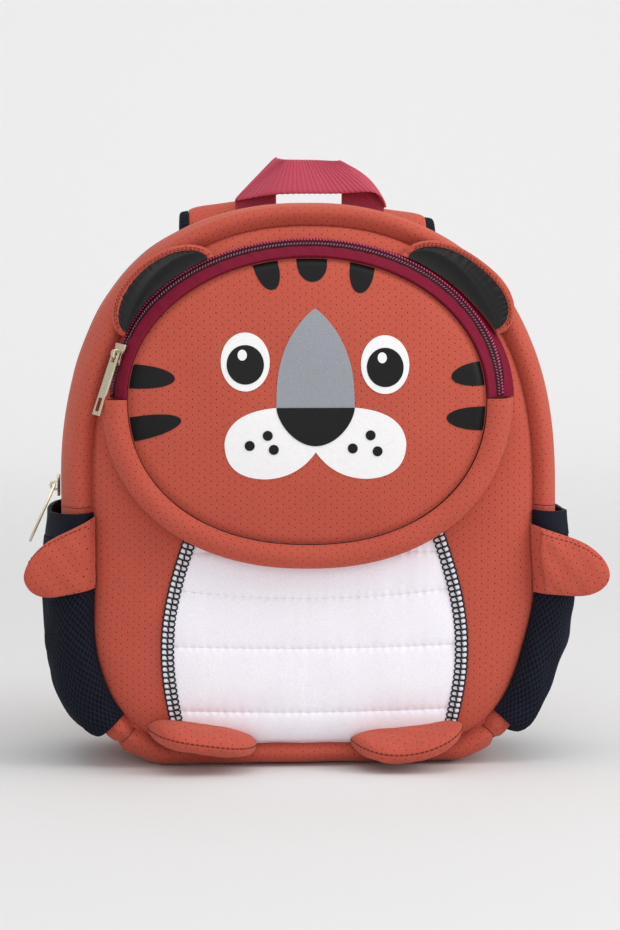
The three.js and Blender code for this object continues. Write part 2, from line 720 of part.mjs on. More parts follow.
// Top handle: webbing sewn up the back seam, folded on the diagonal so that it crosses in front
function handleLoop() {
  const topY = rearMost + seamGap + handle.thickness / 2;
  const low = bodyHeight - backSeam.inset - handle.root;
  const crest = bodyHeight + handle.crest;
  const fold = crest - handle.width;
  const [halfwayY, crossY] = [topY - handle.stand / 2, topY - handle.stand];
  const leanY = crossY - handle.lean;
  const stations = [];
  for (const side of [-1, 1]) {
    const outside = harnessCentre + (side * (handle.span + handle.width)) / 2;
    const inside = outside - side * handle.width;
    const across = inside - side * 4;
    const run = [
      // the webbing's two edges and the way it faces
      { a: [outside, topY, low], b: [inside, topY, low], n: [0, 1, 0] },
      { a: [outside, topY, fold - 1], b: [inside, topY, crest - 2], n: [0, 1, 0] },
      { a: [outside, halfwayY, fold], b: [inside, halfwayY, crest], n: [side * 0.7, 0, 0.7] },
      { a: [outside - side * 2, crossY - 1, fold], b: [inside - side, crossY, crest - 1.5], n: [0, -1, 0] },
      { a: [across, leanY, fold + 7.5], b: [across, crossY, crest - 0.5], n: [0, -0.8, 0.6] },
    ];
    stations.push(side < 0 ? run : run.reverse());
  }
  const list = stations.flat();
  const surface = (face) => (k, edge) => {
    const { a, b, n } = list[k];
    return a.map((v, axis) => mix(v, b[axis], edge) + n[axis] * face * (handle.thickness / 2));
  };
  return sheet([...list.keys()], [0, 0.5, 1], surface(1), surface(-1));
}

// Shoulder straps: sewn root up to the fold, then down the back to a share of their length
function strapStations(end) {
  const rootY = rearMost + seamGap + strap.thickness / 2;
  const turn = strapFold + strap.thickness / 2;
  const foldZ = bodyHeight + strap.crest - turn - strap.thickness / 2;
  const stations = [
    { y: rootY, z: foldZ - strap.root, down: 0, turned: 0 },
    { y: rootY, z: foldZ - strap.root / 2, down: 0, turned: 0 },
  ];
  for (const degrees of [0, 36, 72, 108, 144, 180]) {
    const turned = radians(degrees);
    const y = rootY + turn - turn * Math.cos(turned);
    stations.push({ y, z: foldZ + turn * Math.sin(turned), down: 0, turned });
  }
  for (const down of [0.2, 0.4, 0.6, 0.8, end]) {
    const sag = strap.sag * (Math.sin(Math.PI * down) - down);
    stations.push({ y: rootY + 2 * turn + sag, z: foldZ - strap.lengthDown * down, down, turned: Math.PI });
  }
  return stations;
}

// Across is -1 at the strap's inner edge and 1 at its outer; lift is measured off its middle surface.
function strapPoint(side, station, across, lift) {
  const { y, z, down, turned } = station;
  const half = (strap.width / 2) * (down > 0.8 ? mix(1, strap.taper, (down - 0.8) / 0.2) : 1);
  const x = mix(strap.top, strap.bottom, smooth(down)) + across * half;
  const tilted = z - strap.tilt * across * (1 - smooth(down));
  return [harnessCentre + side * x, y - lift * Math.cos(turned), tilted + lift * Math.sin(turned)];
}
const bindingShare = (2 * strap.binding) / strap.width;
const padEnd = 1 - strap.binding / strap.lengthDown;

function strapPad(side) {
  const thick = (across) => mix(strap.edge, strap.thickness, Math.sqrt(1 - Math.abs(across) ** 4)) / 2;
  const surface = (face) => (station, across) =>
    strapPoint(side, station, across * (1 - bindingShare), face * thick(across));
  return sheet(strapStations(padEnd), [-1, -0.75, 0, 0.75, 1], surface(1), surface(-1));
}

// The binding runs down one edge of the strap, across its end and up the other edge.
function strapBinding(side) {
  const inside = 1 - bindingShare + (2 * seamGap) / strap.width;
  const inner = strapStations(padEnd + seamGap / strap.lengthDown);
  const outer = strapStations(1);
  const down = inner.map((station, k) => ({ across: 1, inner: station, outer: outer[k] }));
  const up = [...down].reverse().map((row) => ({ ...row, across: -1 }));
  const surface = (face) => (row, edge) => {
    const station = edge ? row.outer : row.inner;
    return strapPoint(side, station, row.across * (edge ? 1 : inside), (face * strap.edge) / 2);
  };
  return sheet([...down, ...up], [0, 1], surface(1), surface(-1));
}

const strapEnd = lastOf(strapStations(1));
const loopTop = strapEnd.z - seamGap;
const adjusterPlace = {
  x: strap.bottom,
  y: strapEnd.y,
  z: loopTop - adjuster.drop - adjuster.length / 2,
};

// Ladder-lock adjuster: a frame with a middle bar
function adjusterFrame(side) {
  const [w, l] = [adjuster.width / 2, adjuster.length / 2];
  const plan = new THREE.Shape([
    new THREE.Vector2(-w, -l),
    new THREE.Vector2(w, -l),
    new THREE.Vector2(w, l),
    new THREE.Vector2(-w, l),
  ]);
  const [inside, bar] = [w - adjuster.bar * 0.8, adjuster.bar];
  const slots = [
    [bar / 2, l - bar],
    [-l + bar, -bar / 2],
  ];
  for (const [low, high] of slots) {
    const slot = new THREE.Path();
    slot.moveTo(-inside, low);
    slot.lineTo(-inside, high);
    slot.lineTo(inside, high);
    slot.lineTo(inside, low);
    plan.holes.push(slot);
  }
  const frame = prism(plan, -adjuster.thickness / 2, adjuster.thickness / 2);
  return frame.translate(harnessCentre + side * adjusterPlace.x, adjusterPlace.y, adjusterPlace.z);
}

// Webbing along a path seen from the side. Each row is a place on it, and the way its face looks.
function webbingAlong(side, path) {
  const surface = (face) => (row, across) => {
    const lift = (face * webbing.thickness) / 2;
    const x = harnessCentre + side * (row.x + across * (webbing.width / 2));
    return [x, row.y + lift * row.ny, row.z + lift * row.nz];
  };
  return sheet(path, [-1, 1], surface(1), surface(-1));
}

// How far webbing stays from the middle of a bar that it wraps, across the frame and along it.
const wrap = {
  y: adjuster.thickness / 2 + seamGap + webbing.thickness / 2,
  z: adjuster.bar / 2 + seamGap + webbing.thickness / 2,
};

// Loop that hangs the adjuster's top bar from the strap's end
function strapLoop(side) {
  const { x, y, z } = adjusterPlace;
  const bar = z + adjuster.length / 2 - adjuster.bar / 2;
  const path = [
    { x, y: y - 1, z: loopTop, ny: -1, nz: 0 },
    { x, y: y - wrap.y, z: bar + wrap.z, ny: -1, nz: 0 },
    { x, y: y - wrap.y, z: bar - wrap.z * 0.5, ny: -1, nz: 0 },
    { x, y: y - wrap.y * 0.7, z: bar - wrap.z, ny: -0.7, nz: -0.7 },
    { x, y: y + wrap.y * 0.7, z: bar - wrap.z, ny: 0.7, nz: -0.7 },
    { x, y: y + wrap.y, z: bar - wrap.z * 0.5, ny: 1, nz: 0 },
    { x, y: y + wrap.y, z: bar + wrap.z, ny: 1, nz: 0 },
    { x, y: y + 1, z: loopTop, ny: 1, nz: 0 },
  ];
  return webbingAlong(side, path);
}

const anchorReach = panelReach(webbing.anchor + harnessCentre, webbing.anchorHeight, backSeam);
const anchorPlace = {
  x: webbing.anchor,
  y: backPanelY(anchorReach) + 2 * seamGap + anchorTab.thickness / 2,
  z: webbing.anchorHeight,
};

// Lower webbing: up from the anchor tab, round the adjuster's middle bar and down to a free tail
function lowerWebbing(side) {
  const { x, y, z } = adjusterPlace;
  const low = z - adjuster.length / 2;
  const rise = anchorPlace.y + anchorTab.thickness / 2 + seamGap + webbing.thickness / 2;
  const [tabLow, tabHigh] = [anchorPlace.z - anchorTab.length / 2, anchorPlace.z + anchorTab.length / 2];
  const halfway = { x: mix(x, anchorPlace.x, 0.5), y: mix(y, rise, 0.55), z: mix(low, tabHigh, 0.5) };
  const path = [
    { x: anchorPlace.x, y: rise, z: tabLow, ny: -1, nz: 0 },
    { x: anchorPlace.x, y: rise, z: tabHigh, ny: -1, nz: 0 },
    { ...halfway, ny: -0.9, nz: 0.4 },
    { x, y: y - wrap.y, z: low, ny: -1, nz: 0 },
    { x, y: y - wrap.y, z: z + wrap.z * 0.5, ny: -1, nz: 0 },
    { x, y: y - wrap.y * 0.7, z: z + wrap.z, ny: -0.7, nz: 0.7 },
    { x, y: y + wrap.y * 0.7, z: z + wrap.z, ny: 0.7, nz: 0.7 },
    { x, y: y + wrap.y, z: z + wrap.z * 0.5, ny: 1, nz: 0 },
    { x, y: y + wrap.y, z: low, ny: 1, nz: 0 },
    { x, y: y + wrap.y * 0.9, z: low - webbing.tail, ny: 1, nz: 0 },
  ];
  return webbingAlong(side, path);
}

function strapAnchor(side) {
  const [w, l] = [anchorTab.width / 2, anchorTab.length / 2];
  const plan = new THREE.Shape([
    new THREE.Vector2(-w, -l),
    new THREE.Vector2(w, -l),
    new THREE.Vector2(w - 3, l),
    new THREE.Vector2(3 - w, l),
  ]);
  const tab = prism(plan, -anchorTab.thickness / 2, anchorTab.thickness / 2);
  return tab.translate(harnessCentre + side * anchorPlace.x, anchorPlace.y, anchorPlace.z);
}

// Printed film: flat shapes pressed onto the face, so each is a slice of one thin skin
const filmSkin = faceSkin(turnsOf(24), 0.995, filmGap + film, filmGap);

function ellipseShape(x, z, halfWidth, halfHeight) {
  const shape = new THREE.Shape();
  shape.absellipse(printMiddle + x, faceCentre.z + z, halfWidth, halfHeight, 0, 2 * Math.PI, false, 0);
  return shape;
}

function printed(shape, holes = [], segments = 12) {
  const depth = 2 * bodyDepth;
  const kept = keepInside(filmSkin, prism(shape, -depth, 0, segments));
  return holes.length ? cut(kept, ...holes.map((hole) => prism(hole, -depth, 0, segments))) : kept;
}

function noseShape(grow) {
  const [x, z] = [printMiddle, faceCentre.z + nose.top];
  const w = nose.halfWidth + grow;
  const d = nose.depth + grow;
  const shape = new THREE.Shape();
  shape.moveTo(x - w, z + grow);
  shape.quadraticCurveTo(x - w * 0.55, z - d * 0.98, x, z - d);
  shape.quadraticCurveTo(x + w * 0.55, z - d * 0.98, x + w, z + grow);
  return shape;
}

function noseBridgeShape() {
  const [x, z] = [printMiddle, faceCentre.z + nose.top + filmGap];
  const w = nose.halfWidth;
  const shape = new THREE.Shape();
  shape.moveTo(x - w, z);
  shape.lineTo(x + w, z);
  shape.quadraticCurveTo(x + w * 0.98, z + noseBridge.height * 0.6, x, z + noseBridge.height);
  shape.quadraticCurveTo(x - w * 0.98, z + noseBridge.height * 0.6, x - w, z);
  return shape;
}

function muzzleShape() {
  const [x, z] = [printMiddle, faceCentre.z + nose.top];
  const right = [
    // a curve's middle handle, then its end, from under the nose round the cheek to the notch
    [muzzle.halfWidth * 0.93, -2, muzzle.halfWidth, -muzzle.cheekDrop],
    [muzzle.halfWidth, -muzzle.depth * 0.99, muzzle.chin, -muzzle.depth],
    [9, -muzzle.depth * 0.98, 0, -muzzle.notch],
  ];
  const starts = [nose.halfWidth, muzzle.halfWidth, muzzle.chin];
  const startDrops = [-filmGap, -muzzle.cheekDrop, -muzzle.depth];
  const shape = new THREE.Shape();
  shape.moveTo(x + starts[0], z + startDrops[0]);
  for (const [hx, hz, ex, ez] of right) shape.quadraticCurveTo(x + hx, z + hz, x + ex, z + ez);
  for (const k of [2, 1, 0]) {
    const [hx, hz] = right[k];
    shape.quadraticCurveTo(x - hx, z + hz, x - starts[k], z + startDrops[k]);
  }
  return shape;
}

// A stripe is the half of an ellipse that reaches in from the face's edge.
function browStripeShape({ x, half, length }) {
  const power = facePower.upper;
  const top = (faceHeight / 2) * (1 - (Math.abs(x) / (faceWidth / 2)) ** power) ** (1 / power);
  return ellipseShape(x, top - 0.5, half, length);
}

function cheekStripeShape(side, { z, half, length }) {
  const power = facePowerAt(z);
  const edge = (faceWidth / 2) * (1 - (Math.abs(z) / (faceHeight / 2)) ** power) ** (1 / power);
  return ellipseShape(side * (edge - 0.5), z, length, half);
}

// Assembly
const backpack = new THREE.Group();
backpack.name = "animal_backpack";

function add(name, geometry, colour, metalness = 0, roughness = 0.85, parent = backpack) {
  const material = new THREE.MeshStandardMaterial({ color: colours[colour], metalness, roughness });
  const mesh = new THREE.Mesh(geometry, material);
  mesh.name = name;
  parent.add(mesh);
  return mesh;
}

function addZipPuller(name, position, along, outward, tilt) {
  const holder = new THREE.Group();
  const x = along.clone().normalize();
  const z = outward.clone().addScaledVector(x, -outward.dot(x)).normalize();
  const y = new THREE.Vector3().crossVectors(z, x);
  holder.applyMatrix4(new THREE.Matrix4().makeBasis(x, y, z).setPosition(position));
  add(`${name}_slider`, sliderBody(), "nickel", 0.9, 0.3, holder);
  const hinge = new THREE.Group();
  hinge.position.z = pivotHeight;
  hinge.rotation.y = radians(tilt);
  add(`${name}_pull`, pullTab(), "nickel", 0.9, 0.3, hinge);
  holder.add(hinge);
  backpack.add(holder);
}

const sides = { left: -1, right: 1 };

add("front_panel", frontPanel(), "neoprene");
add("belly_panel", bellyPanel(), "belly");
add("back_panel", backPanel(), "neoprene");
add("arch_front_strip", wallStrip(archAngles, [...frontRollPlaces, flatPlace(mainZip.front)]), "neoprene");
add(
  "arch_back_strip",
  wallStrip(archAngles, [flatPlace(mainZip.front + mainZip.width), ...backRollPlaces]),
  "neoprene",
);
add("base_strip", wallStrip(baseAngles, [...frontRollPlaces, ...backRollPlaces]), "neoprene");
for (const [name, angles] of Object.entries(sideAngles))
  add(`side_strip_${name}`, wallStrip(angles, [...frontRollPlaces, ...backRollPlaces]), "neoprene");
add("main_zip", mainZipTape(), "burgundy");

add("face_panel", facePanel(), "neoprene");
add("face_border", faceBorder(), "neoprene");
add("face_zip", faceZip(), "burgundy");

for (const [name, side] of Object.entries(sides)) {
  add(`ear_${name}`, ear(-side), "neoprene");
  add(`ear_lining_${name}`, earLining(-side), "vinyl", 0, 0.4);
  add(`arm_${name}`, armSolid(side), "neoprene");
  add(`foot_${name}`, footSolid(footSpans[name]), "neoprene");
  add(`side_pocket_${name}`, pocket(side), "navy");
  add(`pocket_binding_${name}`, pocketRim(side), "navy");
  add(`shoulder_strap_${name}`, strapPad(side), "neoprene");
  add(`strap_binding_${name}`, strapBinding(side), "navy");
  add(`strap_loop_${name}`, strapLoop(side), "navy");
  add(`strap_adjuster_${name}`, adjusterFrame(side), "navy", 0, 0.5);
  add(`strap_webbing_${name}`, lowerWebbing(side), "navy");
  add(`strap_anchor_${name}`, strapAnchor(side), "neoprene");
}
add("top_handle", handleLoop(), "webbingRed");

// Face print
const pupilShape = (side, grow) =>
  ellipseShape(side * pupil.x, pupil.z, pupil.radius + grow, pupil.radius + grow);
const glintShape = (side, grow) =>
  ellipseShape(side * pupil.x + glint.x, glint.z, glint.halfWidth + grow, glint.halfHeight + grow);
for (const [name, side] of Object.entries(sides)) {
  const white = ellipseShape(side * eye.x, eye.z, eye.halfWidth, eye.halfHeight);
  add(`eye_white_${name}`, printed(white, [pupilShape(side, filmGap)], 8), "white");
  add(`pupil_${name}`, printed(pupilShape(side, 0), [glintShape(side, filmGap)], 8), "black");
  add(`glint_${name}`, printed(glintShape(side, 0), [], 4), "white");
  cheekStripes.forEach((stripe, k) =>
    add(`cheek_stripe_${name}_${k + 1}`, printed(cheekStripeShape(side, stripe), [], 8), "black"),
  );
}
browStripes.forEach((stripe, k) =>
  add(`brow_stripe_${k + 1}`, printed(browStripeShape(stripe), [], 8), "black"),
);
add("nose_bridge", printed(noseBridgeShape(), [], 6), "grey");
add("nose", printed(noseShape(0), [], 8), "black");

const dots = whiskerDots.map(({ x, z }) => ellipseShape(x, z, whiskerDot, whiskerDot));
add("muzzle", printed(muzzleShape(), [noseShape(filmGap), ...dots], 6), "white");

// Zip pullers
function faceZipPuller() {
  const angle = faceSliderAngle;
  const row = zipRows(borderWidth.side);
  const share = (row[2].share + row[3].share) / 2;
  const point = (a, s) => new THREE.Vector3(...faceZipPoint(a, s, zipTape + coilHeight));
  const along = point(angle - 4, share).sub(point(angle + 4, share));
  const across = point(angle, share + 0.15).sub(point(angle, share - 0.15));
  const outward = new THREE.Vector3().crossVectors(across, along);
  if (outward.y > 0) outward.negate();
  along.lerp(new THREE.Vector3(0, 0, along.length()), faceSliderUpright);
  addZipPuller("face_zip", point(angle, share), along, outward, 8);
}

function mainZipPuller() {
  const angle = mainSliderAngle;
  const rows = zipRows(mainZip.width);
  const share = (rows[2].share + rows[3].share) / 2;
  const place = flatPlace(mainZip.front + mainZip.width * share);
  const point = (a) => new THREE.Vector3(...wallPoint(a, place, 1 - coilHeight));
  const along = point(angle - 2).sub(point(angle + 2));
  addZipPuller("main_zip", point(angle), along, new THREE.Vector3(-1, 0, 0), 24);
}

faceZipPuller();
mainZipPuller();

export default backpack;
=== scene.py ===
import math
import bmesh
import bpy
import numpy as np
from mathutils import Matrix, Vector


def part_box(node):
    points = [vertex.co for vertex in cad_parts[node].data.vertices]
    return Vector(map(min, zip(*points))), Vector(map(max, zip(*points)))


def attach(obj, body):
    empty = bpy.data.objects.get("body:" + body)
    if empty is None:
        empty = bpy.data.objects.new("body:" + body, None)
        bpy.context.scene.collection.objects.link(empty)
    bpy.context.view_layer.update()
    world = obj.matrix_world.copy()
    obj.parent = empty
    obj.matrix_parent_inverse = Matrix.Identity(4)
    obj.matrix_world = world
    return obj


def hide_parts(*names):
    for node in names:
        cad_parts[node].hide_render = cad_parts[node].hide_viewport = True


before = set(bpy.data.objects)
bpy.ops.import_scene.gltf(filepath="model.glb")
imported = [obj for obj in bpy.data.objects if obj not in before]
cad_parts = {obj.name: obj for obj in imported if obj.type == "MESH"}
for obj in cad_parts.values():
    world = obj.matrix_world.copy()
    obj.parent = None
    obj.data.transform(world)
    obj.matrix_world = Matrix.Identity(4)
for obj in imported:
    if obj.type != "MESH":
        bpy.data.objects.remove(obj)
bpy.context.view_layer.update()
mm = 0.001  # shapes are worked out in millimetres, and the scene is in metres
print("frame loaded:", len(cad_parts), "nodes")


def nodeBox(node):  # a node's lowest and highest corner, in millimetres
    low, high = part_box(node)
    return np.array(low) / mm, np.array(high) / mm


def linearColour(code):  # sRGB hex to linear red, green, blue, alpha
    parts = [(code >> shift & 255) / 255 for shift in (16, 8, 0)]
    return (*[p / 12.92 if p <= 0.04045 else ((p + 0.055) / 1.055) ** 2.4 for p in parts], 1.0)


def addNode(tree, kind, inputs=None, **settings):  # a shader node with its settings, values and links
    node = tree.nodes.new("ShaderNode" + kind)
    for key, value in settings.items():
        setattr(node, key, value)
    for key, value in (inputs or {}).items():
        if isinstance(value, bpy.types.Node):
            value = value.outputs[0]
        if isinstance(value, bpy.types.NodeSocket):
            tree.links.new(value, node.inputs[key])
        else:
            node.inputs[key].default_value = value
    return node


# Surfaces

def mix(a, b, t):  # the share t of the way from a to b
    return a + (b - a) * t


def smooth(t):  # 0 to 1 with no kink at either end: three squares less two cubes
    k = np.clip(t, 0, 1)
    return k * k * (3 - 2 * k)


def unit(vectors):  # the same directions, one long
    return vectors / np.maximum(np.linalg.norm(vectors, axis=-1, keepdims=True), 1e-9)


def domed(t, power):  # 1 in the middle and 0 at both ends, -1 and 1: root of one minus a power
    return np.sqrt(np.maximum(0, 1 - np.abs(t) ** power))


def crowded(count):  # 0 to 1, closer together near both ends: half a cosine wave
    return 0.5 - 0.5 * np.cos(np.linspace(0, math.pi, count))


def ripple(u, v, seed, wave, height):
    # Soft unevenness of cloth: a sum of six sine waves with seeded directions and phases.
    draw = np.random.RandomState(seed)
    total = 0
    for k in range(6):
        turn, phase, scale = draw.uniform(0, math.pi), draw.uniform(0, 2 * math.pi), draw.uniform(0.6, 1.7)
        total = total + np.sin((u * math.cos(turn) + v * math.sin(turn)) * 2 * math.pi * scale / wave + phase)
    return height * total / 6


def smoothRows(table, count):
    # Catmull-Rom curve through the rows of a short table, at evenly spaced places.
    table = np.asarray(table, float)
    padded = np.vstack([2 * table[0] - table[1], table, 2 * table[-1] - table[-2]])
    place = np.linspace(0, len(table) - 1 - 1e-9, count)
    k = place.astype(int)
    t = (place - k)[:, None]
    a, b, c, d = (padded[k + n] for n in range(4))
    return 0.5 * (2 * b + (c - a) * t + (2 * a - 5 * b + 4 * c - d) * t**2 + (3 * b - a - 3 * c + d) * t**3)


def runLength(line):  # distance along a line at each of its points
    return np.concatenate([[0], np.cumsum(np.linalg.norm(np.diff(line, axis=0), axis=1))])


def placesOn(line, at):  # points of a line at the given distances along it
    length = runLength(line)
    return np.stack([np.interp(at, length, line[:, k]) for k in range(3)], -1)


def stitchRow(line, pitch, start, reach):  # evenly spaced places along a line, and the way each stitch runs
    spaced = np.arange(start, runLength(line)[-1] - start, pitch)
    at = placesOn(line, spaced)
    return at, placesOn(line, spaced + reach) - at


def lengthPattern(grid):
    # Distance along the rows and across them, in millimetres, for patterns that follow the cloth.
    down = np.linalg.norm(np.diff(grid, axis=0), axis=-1).mean(axis=1)
    across = np.linalg.norm(np.diff(grid, axis=1), axis=-1).mean(axis=0)
    u = np.concatenate([[0], np.cumsum(down)])
    v = np.concatenate([[0], np.cumsum(across)])
    return np.stack(np.meshgrid(u, v, indexing="ij"), -1)


def gridFaces(rows, columns, closed=False):  # closed joins the last column to the first
    index = np.arange(rows * columns).reshape(rows, columns)
    if closed:
        index = np.hstack([index, index[:, :1]])
    return np.stack([index[:-1, :-1], index[:-1, 1:], index[1:, 1:], index[1:, :-1]], -1).reshape(-1, 4)


def closedFaces(front, count):
    # The same faces on both sides of a wall, and a rim along every open edge.
    edges = np.vstack([front[:, [k, (k + 1) % 4]] for k in range(4)])
    key = np.sort(edges, axis=1) @ np.array([count, 1])
    _, first, times = np.unique(key, return_index=True, return_counts=True)
    rim = edges[first[times == 1]]
    sides = np.stack([rim[:, 1], rim[:, 0], rim[:, 0] + count, rim[:, 1] + count], -1)
    return np.vstack([front, front[:, ::-1] + count, sides])


def facingOut(points, faces):  # turns the faces round where the closed shape holds a negative volume
    p, q, r, s = (points[faces[:, k]] for k in range(4))
    volume = (np.cross(q, r) * p).sum() + (np.cross(r, s) * p).sum()
    return faces if volume > 0 else faces[:, ::-1]


sag = {
    "frontRight": 2.2,  # the front leans to the right of the base
    "crestDown": 3.2,  # how far the top of the arch sinks
    "rightHem": 9,  # how far the lower right corner is drawn in
    "leftHem": 1.8,  # the same at the lower left corner, outward
    "rightHip": 2.8,  # how far the right pocket swells out
}


def slumped(points):
    # The whole bag's slight lean and slump: smooth moves, in millimetres, that fade out before the face.
    x, y, z = points.T
    front = smooth((-y - 20) / 20) * (1 - smooth((-y - 53.5) / 3))
    right = smooth((x - 60) / 50)
    move = np.zeros_like(points)
    move[:, 0] = sag["frontRight"] * front * smooth((np.abs(x) - 80) / 22) * smooth((z - 60) / 40)
    move[:, 0] -= sag["rightHem"] * smooth((66 - z) / 60) * right * (1 - smooth((-y - 24) / 22))
    move[:, 0] += sag["rightHip"] * np.exp(-(((z - 85) / 26) ** 2)) * smooth((x - 90) / 30)
    move[:, 0] += sag["leftHem"] * smooth((34 - z) / 28) * smooth((-x - 60) / 50)
    move[:, 2] = -sag["crestDown"] * smooth((z - 250) / 40) * (1 - smooth((-y - 38) / 8))
    return points + move


def meshPiece(name, mesh, shape, material, sharp):  # puts the edited shape into its mesh and shows it
    shape.to_mesh(mesh)
    shape.free()
    mesh.materials.clear()
    mesh.materials.append(material)
    mesh.shade_smooth()
    mesh.set_sharp_from_angle(angle=math.radians(sharp))
    piece = bpy.data.objects.new(name, mesh)
    bpy.context.scene.collection.objects.link(piece)
    return piece


def buildMesh(name, points, faces, pattern, material, sharp=50, soft=True):
    faces = facingOut(points, faces)
    if soft:
        points = slumped(points)
    mesh = bpy.data.meshes.new(name)
    mesh.vertices.add(len(points))
    mesh.vertices.foreach_set("co", (points * mm).astype(np.float32).ravel())
    mesh.loops.add(faces.size)
    mesh.loops.foreach_set("vertex_index", faces.astype(np.int32).ravel())
    mesh.polygons.add(len(faces))
    mesh.polygons.foreach_set("loop_start", np.arange(0, faces.size, 4, dtype=np.int32))
    mesh.update(calc_edges=True)
    layer = mesh.uv_layers.new(name="pattern")
    layer.data.foreach_set("uv", pattern[faces.ravel()].astype(np.float32).ravel())
    shape = bmesh.new()
    shape.from_mesh(mesh)
    bmesh.ops.remove_doubles(shape, verts=shape.verts, dist=2e-6)
    bmesh.ops.dissolve_degenerate(shape, edges=shape.edges, dist=1e-7)
    return meshPiece(name, mesh, shape, material, sharp)


def wallPiece(name, outer, inner, material, pattern=None, keep=None, sharp=50, soft=True):
    # A closed wall between two surfaces worked out on the same grid. keep masks the grid's faces.
    rows, columns = outer.shape[:2]
    faces = gridFaces(rows, columns)
    if keep is not None:
        faces = faces[keep.ravel()]
    used, faces = np.unique(faces, return_inverse=True)
    faces = faces.reshape(-1, 4)
    pattern = lengthPattern(outer) if pattern is None else pattern
    sides = [side.reshape(-1, 3)[used] for side in (outer, inner)]
    marks = pattern.reshape(-1, 2)[used]
    points = np.vstack(sides)
    faces = closedFaces(faces, len(used))
    return buildMesh(name, points, faces, np.vstack([marks, marks]), material, sharp, soft)


toViewer = np.array([0.0, -1.0, 0.0])


def tubePiece(name, paths, radius, material, sides=6):
    # Round thread along each path: a circle carried along it on axes square to its run.
    points, faces, marks, start = [], [], [], 0
    for path in paths:
        along = unit(np.gradient(path, axis=0))
        side = unit(np.cross(along, toViewer))
        lift = np.cross(side, along)
        turn = np.linspace(0, 2 * math.pi, sides, endpoint=False)
        size = np.full(len(path), radius)
        size[[0, -1]] = 1e-4
        ring = np.cos(turn)[None, :, None] * side[:, None] + np.sin(turn)[None, :, None] * lift[:, None]
        body = path[:, None] + ring * size[:, None, None]
        points.append(body.reshape(-1, 3))
        marks.append(np.stack(np.meshgrid(runLength(path), turn * radius, indexing="ij"), -1).reshape(-1, 2))
        faces.append(gridFaces(len(path), sides, True) + start)
        start += len(path) * sides
    return buildMesh(name, np.vstack(points), np.vstack(faces), np.vstack(marks), material, 80)


def beadPiece(name, places, along, up, size, material, sides=6, curl=0.0):
    # Many small stitches or teeth as one mesh: a rounded bead, long along one axis, set at each place.
    ends = np.array([-1, -0.86, -0.45, 0.45, 0.86, 1])
    fat = np.array([0, 0.6, 1, 1, 0.6, 0])
    turn = np.linspace(0, 2 * math.pi, sides, endpoint=False)
    x = np.repeat(ends[:, None], sides, 1) * size[0] / 2
    y = fat[:, None] * np.cos(turn) * size[1] / 2
    z = fat[:, None] * np.sin(turn) * size[2] / 2 - curl * (x / size[0] * 2) ** 2
    bead = np.stack([x, y, z], -1).reshape(-1, 3)
    along = unit(along)
    up = unit(up - (up * along).sum(-1, keepdims=True) * along)
    axes = np.stack([along, np.cross(up, along), up], 1)
    points = places[:, None] + np.einsum("kj,nji->nki", bead, axes)
    faces = gridFaces(len(ends), sides, True)
    faces = (faces[None] + (np.arange(len(places)) * len(bead))[:, None, None]).reshape(-1, 4)
    return buildMesh(name, points.reshape(-1, 3), faces, points.reshape(-1, 3)[:, [0, 2]], material, 80)


def settle(piece, nodes, body="bag"):  # says what a finished piece stands for and moves with
    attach(piece, body)
    if nodes:
        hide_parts(*nodes)
    return piece


# Materials

def startMaterial(name):
    material = bpy.data.materials.new(name)
    material.use_nodes = True
    material.node_tree.nodes.clear()
    tree = material.node_tree
    shader = addNode(tree, "BsdfPrincipled")
    addNode(tree, "OutputMaterial", {0: shader})
    return material, tree, shader


def setSurface(shader, values):  # numbers that are the same all over, on the shader's own sockets
    for key, value in values.items():
        shader.inputs[key].default_value = value


def maths(tree, operation, *values):  # each value is a number, a node or a node's output
    return addNode(tree, "Math", dict(enumerate(values)), operation=operation)


def objectNoise(tree, scale, detail, roughness=0.5):  # noise that stays with the object, in waves per metre
    place = addNode(tree, "TexCoord").outputs["Object"]
    values = {"Vector": place, "Scale": scale, "Detail": detail, "Roughness": roughness}
    return addNode(tree, "TexNoise", values)


def twoTone(tree, shader, share, deep, colour):  # surface colour between two sRGB tones
    tones = {0: share, 6: linearColour(deep), 7: linearColour(colour)}
    shade = addNode(tree, "Mix", tones, data_type="RGBA")
    tree.links.new(shade.outputs[2], shader.inputs["Base Color"])


def addRelief(tree, shader, height, strength, depth):  # bump, its depth in millimetres
    bump = addNode(tree, "Bump", {"Height": height, "Strength": strength, "Distance": depth * mm})
    tree.links.new(bump.outputs[0], shader.inputs["Normal"])


def clothPlace(tree):  # the piece's own pattern map, in millimetres
    coordinates = addNode(tree, "UVMap", uv_map="pattern")
    return addNode(tree, "SeparateXYZ", {0: coordinates})


def staggered(tree, across, down, pitchAcross, pitchDown, squash=1.0):
    # Distance to the nearest of a field of points, each row shifted by half a pitch, in millimetres.
    row = maths(tree, "DIVIDE", down, pitchDown)
    rowNumber = maths(tree, "FLOOR", row)
    shift = maths(tree, "MULTIPLY", rowNumber, 0.5)
    column = maths(tree, "MULTIPLY_ADD", across, 1 / pitchAcross, shift)
    x = maths(tree, "FRACT", column)
    x = maths(tree, "SUBTRACT", x, 0.5)
    x = maths(tree, "MULTIPLY", x, pitchAcross)
    y = maths(tree, "FRACT", row)
    y = maths(tree, "SUBTRACT", y, 0.5)
    y = maths(tree, "MULTIPLY", y, pitchDown * squash)
    return addNode(tree, "VectorMath", {0: addNode(tree, "CombineXYZ", {0: x, 1: y})}, operation="LENGTH")


neoprene = {
    "colour": 0xBE5544,
    "deep": 0x9C3D30,  # the same jersey in the hollow of its knit
    # painted shade: the near-black seen inside each punched hole
    "hole": 0x1A0906,
    "pitchAcross": 6.0,  # punched holes, every second row shifted by half a pitch
    "pitchDown": 1.95,
    "holeRadius": 0.26,
    "dimple": 0.7,
    "knit": 0.42,  # loop size of the jersey face, in millimetres
    "rib": 0.95,  # pitch of its fine diagonal
}


